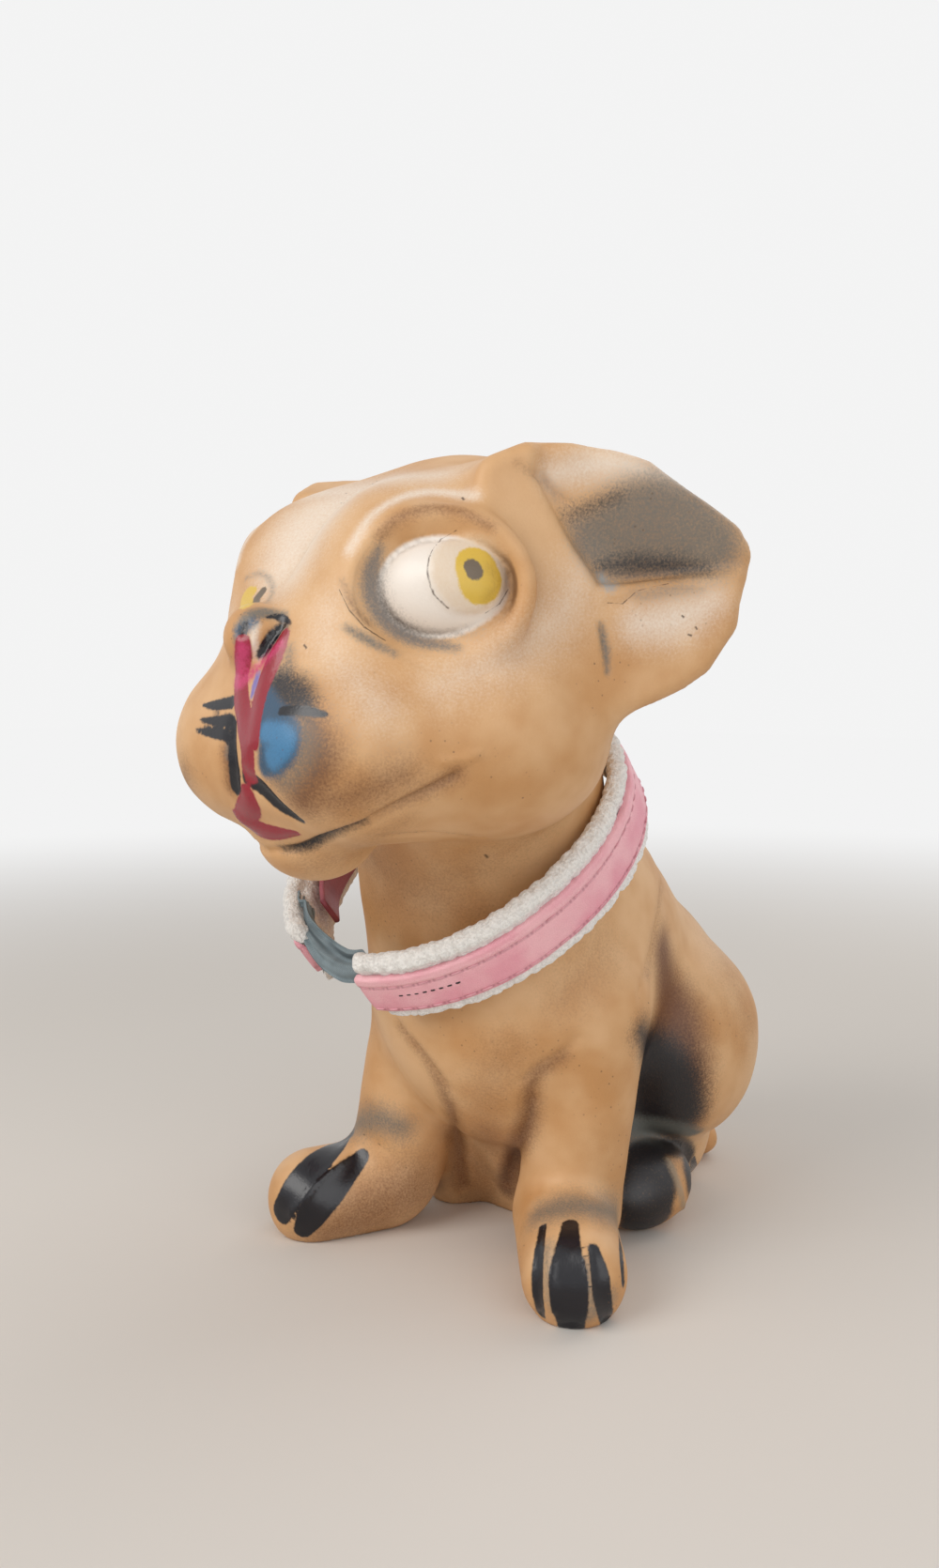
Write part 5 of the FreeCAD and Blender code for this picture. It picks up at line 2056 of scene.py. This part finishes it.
    def lining(self, finish: Material) -> Object:
        """Fleece strip: a thick soft section whose pile puffs out past the strap's edges.

        Each place moves out of the section by the height of the tufts round it, and the
        upper and lower edges lean out over the leather.
        """
        form = self.fleece
        end = self.strap_sweep + math.degrees(form.overhang / self.bore)
        angle = self.near_end + np.linspace(form.start, end, form.sections)
        low = -self.strap_width / 2 - self.lining_below
        whole = self.strap_width + self.lining_below + self.lining_above
        section = rounded_section(
            self.lining_thickness - form.thinner, whole - form.lower, form.corner, form.places,
        )
        deep, tall = section.T
        height = tall + low + whole / 2
        past = np.maximum(np.abs(height) - self.strap_width / 2, 0.0)
        lean = form.lean * smooth_step(past / form.lean_reach)
        radius = self.bore + self.lining_thickness / 2 + deep + lean
        up, out = form.squeeze
        spread = np.broadcast_arrays(self.run(angle)[:, None], up * height[None], out * radius[None])
        flat = np.stack(spread, axis=-1).reshape(-1, 3)
        big, big_cell = form.big_tufts
        small, small_cell = form.small_tufts
        lumps = big * NOISE.tufts(flat, big_cell) + small * NOISE.tufts(flat + form.shift, small_cell)
        lumps = lumps.reshape(len(angle), -1)
        away = np.stack([deep / (self.lining_thickness / 2), tall / (whole / 2)], axis=-1) ** form.squareness
        away /= np.maximum(np.linalg.norm(away, axis=1, keepdims=True), LEAST)
        under = (np.abs(height) < self.strap_width / 2 - form.under_margin) & (deep > 0)
        amount = lumps * np.where(under, 0.0, form.puff)[None]
        radius = radius[None] + amount * away[:, 0][None]
        height = height[None] + amount * away[:, 1][None] + self.wave(angle)[:, None]
        piece = self.band("fleece_lining", angle, radius, height)
        add_attribute(piece, "pile", capped(lumps))
        return self.dress(piece, finish, "white_fleece", "collar_lining")

    def elastic(self, finish: Material) -> Object:
        """Puckered elastic: narrow where it is folded in, wide where it meets the strap.

        In the gap it lies over, its upper edge turned in towards the neck: each place of
        the section turns about its middle by a roll that rises past the far end and
        falls again at the near one. Its face rises and falls in folds that fan out
        along it: a sine of the width share times a slow sine of the run.
        """
        form = self.puckers
        angle = np.linspace(form.start, form.end, form.sections)
        share = ((angle - form.start) / (form.end - form.start))[:, None]
        roll = np.radians(form.roll_in.at(angle) * form.roll_out.at(angle))
        bulge = form.bulge_in.at(angle) * form.bulge_out.at(angle)
        middle = self.bore - form.inside + form.lift.at(angle) + bulge
        section = rounded_section(form.thickness, 2.0, form.corner, form.places)
        deep, across = section.T
        base, growth = form.broad_height
        (count, drift), (fine_count, fine_drift) = form.broad_fold, form.fine_fold
        folds = np.sin(across[None] * count + drift * share) * (base + growth * share)
        folds += form.fine_height * np.sin(across[None] * fine_count + fine_drift * share)
        wide = form.half.at(angle)[:, None] * across[None]
        thick = deep[None] + folds * form.fold_height
        turn_cos, turn_sin = np.cos(roll)[:, None], np.sin(roll)[:, None]
        radius = middle[:, None] + thick * turn_cos - wide * turn_sin
        height = form.centre.at(angle)[:, None] + wide * turn_cos + thick * turn_sin
        piece = self.band("elastic_puckers", angle, radius, height)
        # How deep each place lies in a fold, kept as fold for the painted shade in the folds.
        fold = smooth_step(-folds / form.fold_shade)
        add_attribute(piece, "fold", capped(fold))
        return self.dress(piece, finish, "grey_elastic", "elastic_insert")

    def tail(self, finish: Material) -> Object:
        """Strap tail tucked inside the lining: a flat strip with a softly bent end."""
        form = self.tucked
        angle = np.linspace(form.start, form.end, form.sections)
        share = ((angle - form.start) / (form.end - form.start))[:, None]
        deep, tall = rounded_section(form.thickness, form.width, form.corner, form.places).T
        sag = form.sag * smooth_step((share - 0.5) / 0.5)
        radius = self.bore - form.inside + deep[None] - sag
        height = form.height + tall[None] * (1.0 - form.narrowing * share) + form.rise * share
        piece = self.band("strap_tail_end", angle, radius, height)
        # Paler edges of the tail, for rubbed wear and painted highlight.
        rub_and_highlight = wear_and_highlight(np.abs(tall) / (form.width / 2), form.rub_and_highlight)
        add_attribute(piece, "rub_and_highlight", capped(np.tile(rub_and_highlight, len(angle)), form.end_rub_and_highlight))
        return self.dress(piece, finish, "pink_leather", "strap_tail")

    def thread(self, row: StitchRow) -> Object:
        """Row of stitches, each a short rounded thread bent down at its ends.

        Each stitch is a tube whose radius falls to the ends as the root of 1 less the
        share to the fourth, and whose middle line dips at the ends by that share.
        """
        form = self.stitch
        share = np.linspace(-1.0, 1.0, form.rings)[:, None]
        turn = np.linspace(0.0, math.tau, form.sides, endpoint=False)[None]
        thick = form.half * np.sqrt(np.maximum(1.0 - share ** 4, form.blunt))
        along = share * row.length / 2 + 0.0 * turn
        aside = thick * np.cos(turn)
        proud = form.proud - form.dip * share ** 4 + thick * np.sin(turn)
        if row.upright:
            along, aside = aside, along
        vertices: list[Array] = []
        faces: list[tuple[int, ...]] = []
        for run, height in zip(row.runs, row.heights):
            angle = self.near_end + np.degrees((run + along) / self.leather_face)
            lift = self.wave(angle)
            rings = self.placed(angle, self.leather_face + proud, height + aside + lift)
            points, _ = tube(rings)
            faces += tube_faces(form.rings, form.sides, sum(len(part) for part in vertices))
            vertices.append(points)
        whole = np.concatenate(vertices)
        piece = new_object(row.name, whole, faces)
        add_uv(piece, whole[:, 0], whole[:, 2])
        add_attribute(piece, "fold", np.zeros(len(whole)))
        return self.dress(piece, row.finish, row.slot, row.node)

    @staticmethod
    def dress(piece: Object, finish: Material, slot: str, node: str) -> Object:
        """Give a piece its finish and its body, and hide the part of the node it stands for."""
        piece.data.materials.append(finish)
        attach(piece, "collar")
        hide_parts(node)
        log.info("%s: %d faces", piece.name, len(piece.data.polygons))
        return piece

    def build(self, effects: Effects) -> list[Object]:
        """Make and dress every piece of the collar."""
        strap_length = math.radians(self.strap_sweep) * self.leather_face
        long_length = strap_length - self.row_margin
        count = round(long_length / self.pitch)
        long_runs = (np.arange(count) + 0.5) * long_length / count
        near_start, near_length = self.near_run
        near_runs = near_start + (np.arange(self.near_count) + 0.5) * near_length / self.near_count
        far_heights = np.array(self.far_heights)
        far_runs = np.full(len(far_heights), strap_length - self.far_inset)
        upper, lower = (np.full(count, row) for row in self.rows)
        middle = np.zeros(self.near_count)
        pale = WovenFinish("pale thread", "#f2b6c0", "#b06a7a", 0.25, 0.7).make(effects)
        black = WovenFinish("dark thread", "#2b2024", "#100c0e", 0.25, 0.6).make(effects)
        pink = LeatherFinish("pink leather").make(effects)
        # The tail is the strap's pink leather in darker colours: painted shade where it lies tucked inside
        # the collar.
        shaded = LeatherFinish("shaded leather", "#8f3f4b", "#a8545f", "#5e2630", rows=()).make(effects)
        grey = WovenFinish("grey elastic", "#8a999f", "#3f4a4f").make(effects)
        long, short, dark = self.stitch.long, self.stitch.short, "dark_thread"
        rows = (
            StitchRow("upper_stitches", "upper_stitch_row", long_runs, upper, long, pale, "thread"),
            StitchRow("lower_stitches", "lower_stitch_row", long_runs, lower, long, pale, "thread"),
            StitchRow("near_end_stitches", "near_end_stitch_row", near_runs, middle, short, black, dark),
            StitchRow(
                "far_end_stitches", "far_end_stitch_row", far_runs, far_heights, short, black, dark, True,
            ),
        )
        return [
            self.strap(pink),
            self.lining(FleeceFinish().make(effects)),
            self.elastic(grey),
            self.tail(shaded),
            *(self.thread(row) for row in rows),
        ]


# The studio


@dataclass(frozen=True)
class SoftLamp:
    """Square soft lamp that looks at the figure."""

    name: str
    place: Vec
    size: float
    power: float
    colour: Vec = (1.0, 1.0, 1.0)
    aim: Vec = (0.0, -40.0, 120.0)

    def make(self) -> Object:
        """Area light at its place, turned to its aim."""
        data = bpy.data.lights.new(self.name, "AREA")
        data.size = self.size
        data.energy = self.power
        data.color = self.colour
        lamp = bpy.data.objects.new(self.name, data)
        start, aim = np.array(self.place) * MM, np.array(self.aim) * MM
        back = (start - aim) / np.linalg.norm(start - aim)
        right = np.cross((0.0, 0.0, 1.0), back)
        right /= np.linalg.norm(right)
        turn = Matrix([[*row] for row in np.stack([right, np.cross(back, right), back], axis=-1)]).to_4x4()
        lamp.matrix_world = Matrix.Translation(start) @ turn
        bpy.context.scene.collection.objects.link(lamp)
        return lamp


@dataclass(frozen=True)
class Studio:
    """Pale floor, soft lamps and an even surround."""

    floor_size: float = 6000.0
    surround: float = 0.47
    backdrop: float = 0.9
    lamps: tuple[SoftLamp, ...] = (
        SoftLamp("key", (-350.0, -900.0, 700.0), 0.7, 5.9, (1.0, 0.98, 0.95)),
        SoftLamp("fill", (800.0, -500.0, 450.0), 0.9, 2.8),
        SoftLamp("back", (250.0, 700.0, 800.0), 0.8, 2.4),
    )

    def build(self) -> None:
        """Make the floor, the lamps and the world."""
        half = self.floor_size / 2
        corners = np.array([(-half, -half, 0.0), (half, -half, 0.0), (half, half, 0.0), (-half, half, 0.0)])
        floor = new_object("floor", corners, [(0, 1, 2, 3)], smooth=False)
        floor.data.materials.append(FloorFinish().make())
        for lamp in self.lamps:
            lamp.make()
        world = bpy.data.worlds.new("studio")
        world.use_nodes = True
        background = world.node_tree.nodes["Background"]
        sheet = NodeSheet(world.node_tree)
        path = sheet.add("LightPath").outputs
        seen = sheet.math("MAXIMUM", path["Is Camera Ray"], path["Is Glossy Ray"])
        seen = sheet.math("MAXIMUM", seen, path["Is Transmission Ray"])
        background.inputs["Color"].default_value = (1.0, 1.0, 1.0, 1.0)
        sheet.fill(background.inputs["Strength"], sheet.blend(seen, self.surround, self.backdrop))
        bpy.context.scene.world = world
        bpy.context.scene.view_settings.view_transform = "Standard"


def main() -> None:
    """Build the figure, the collar and the studio."""
    logging.basicConfig(level=logging.INFO, format="%(name)s: %(message)s")
    effects = Effects()
    figure = PlasterFigure()
    figure.camera.make()
    figure.build(effects)
    Collar().build(effects)
    Studio().build()


if __name__ == "__main__":
    main()
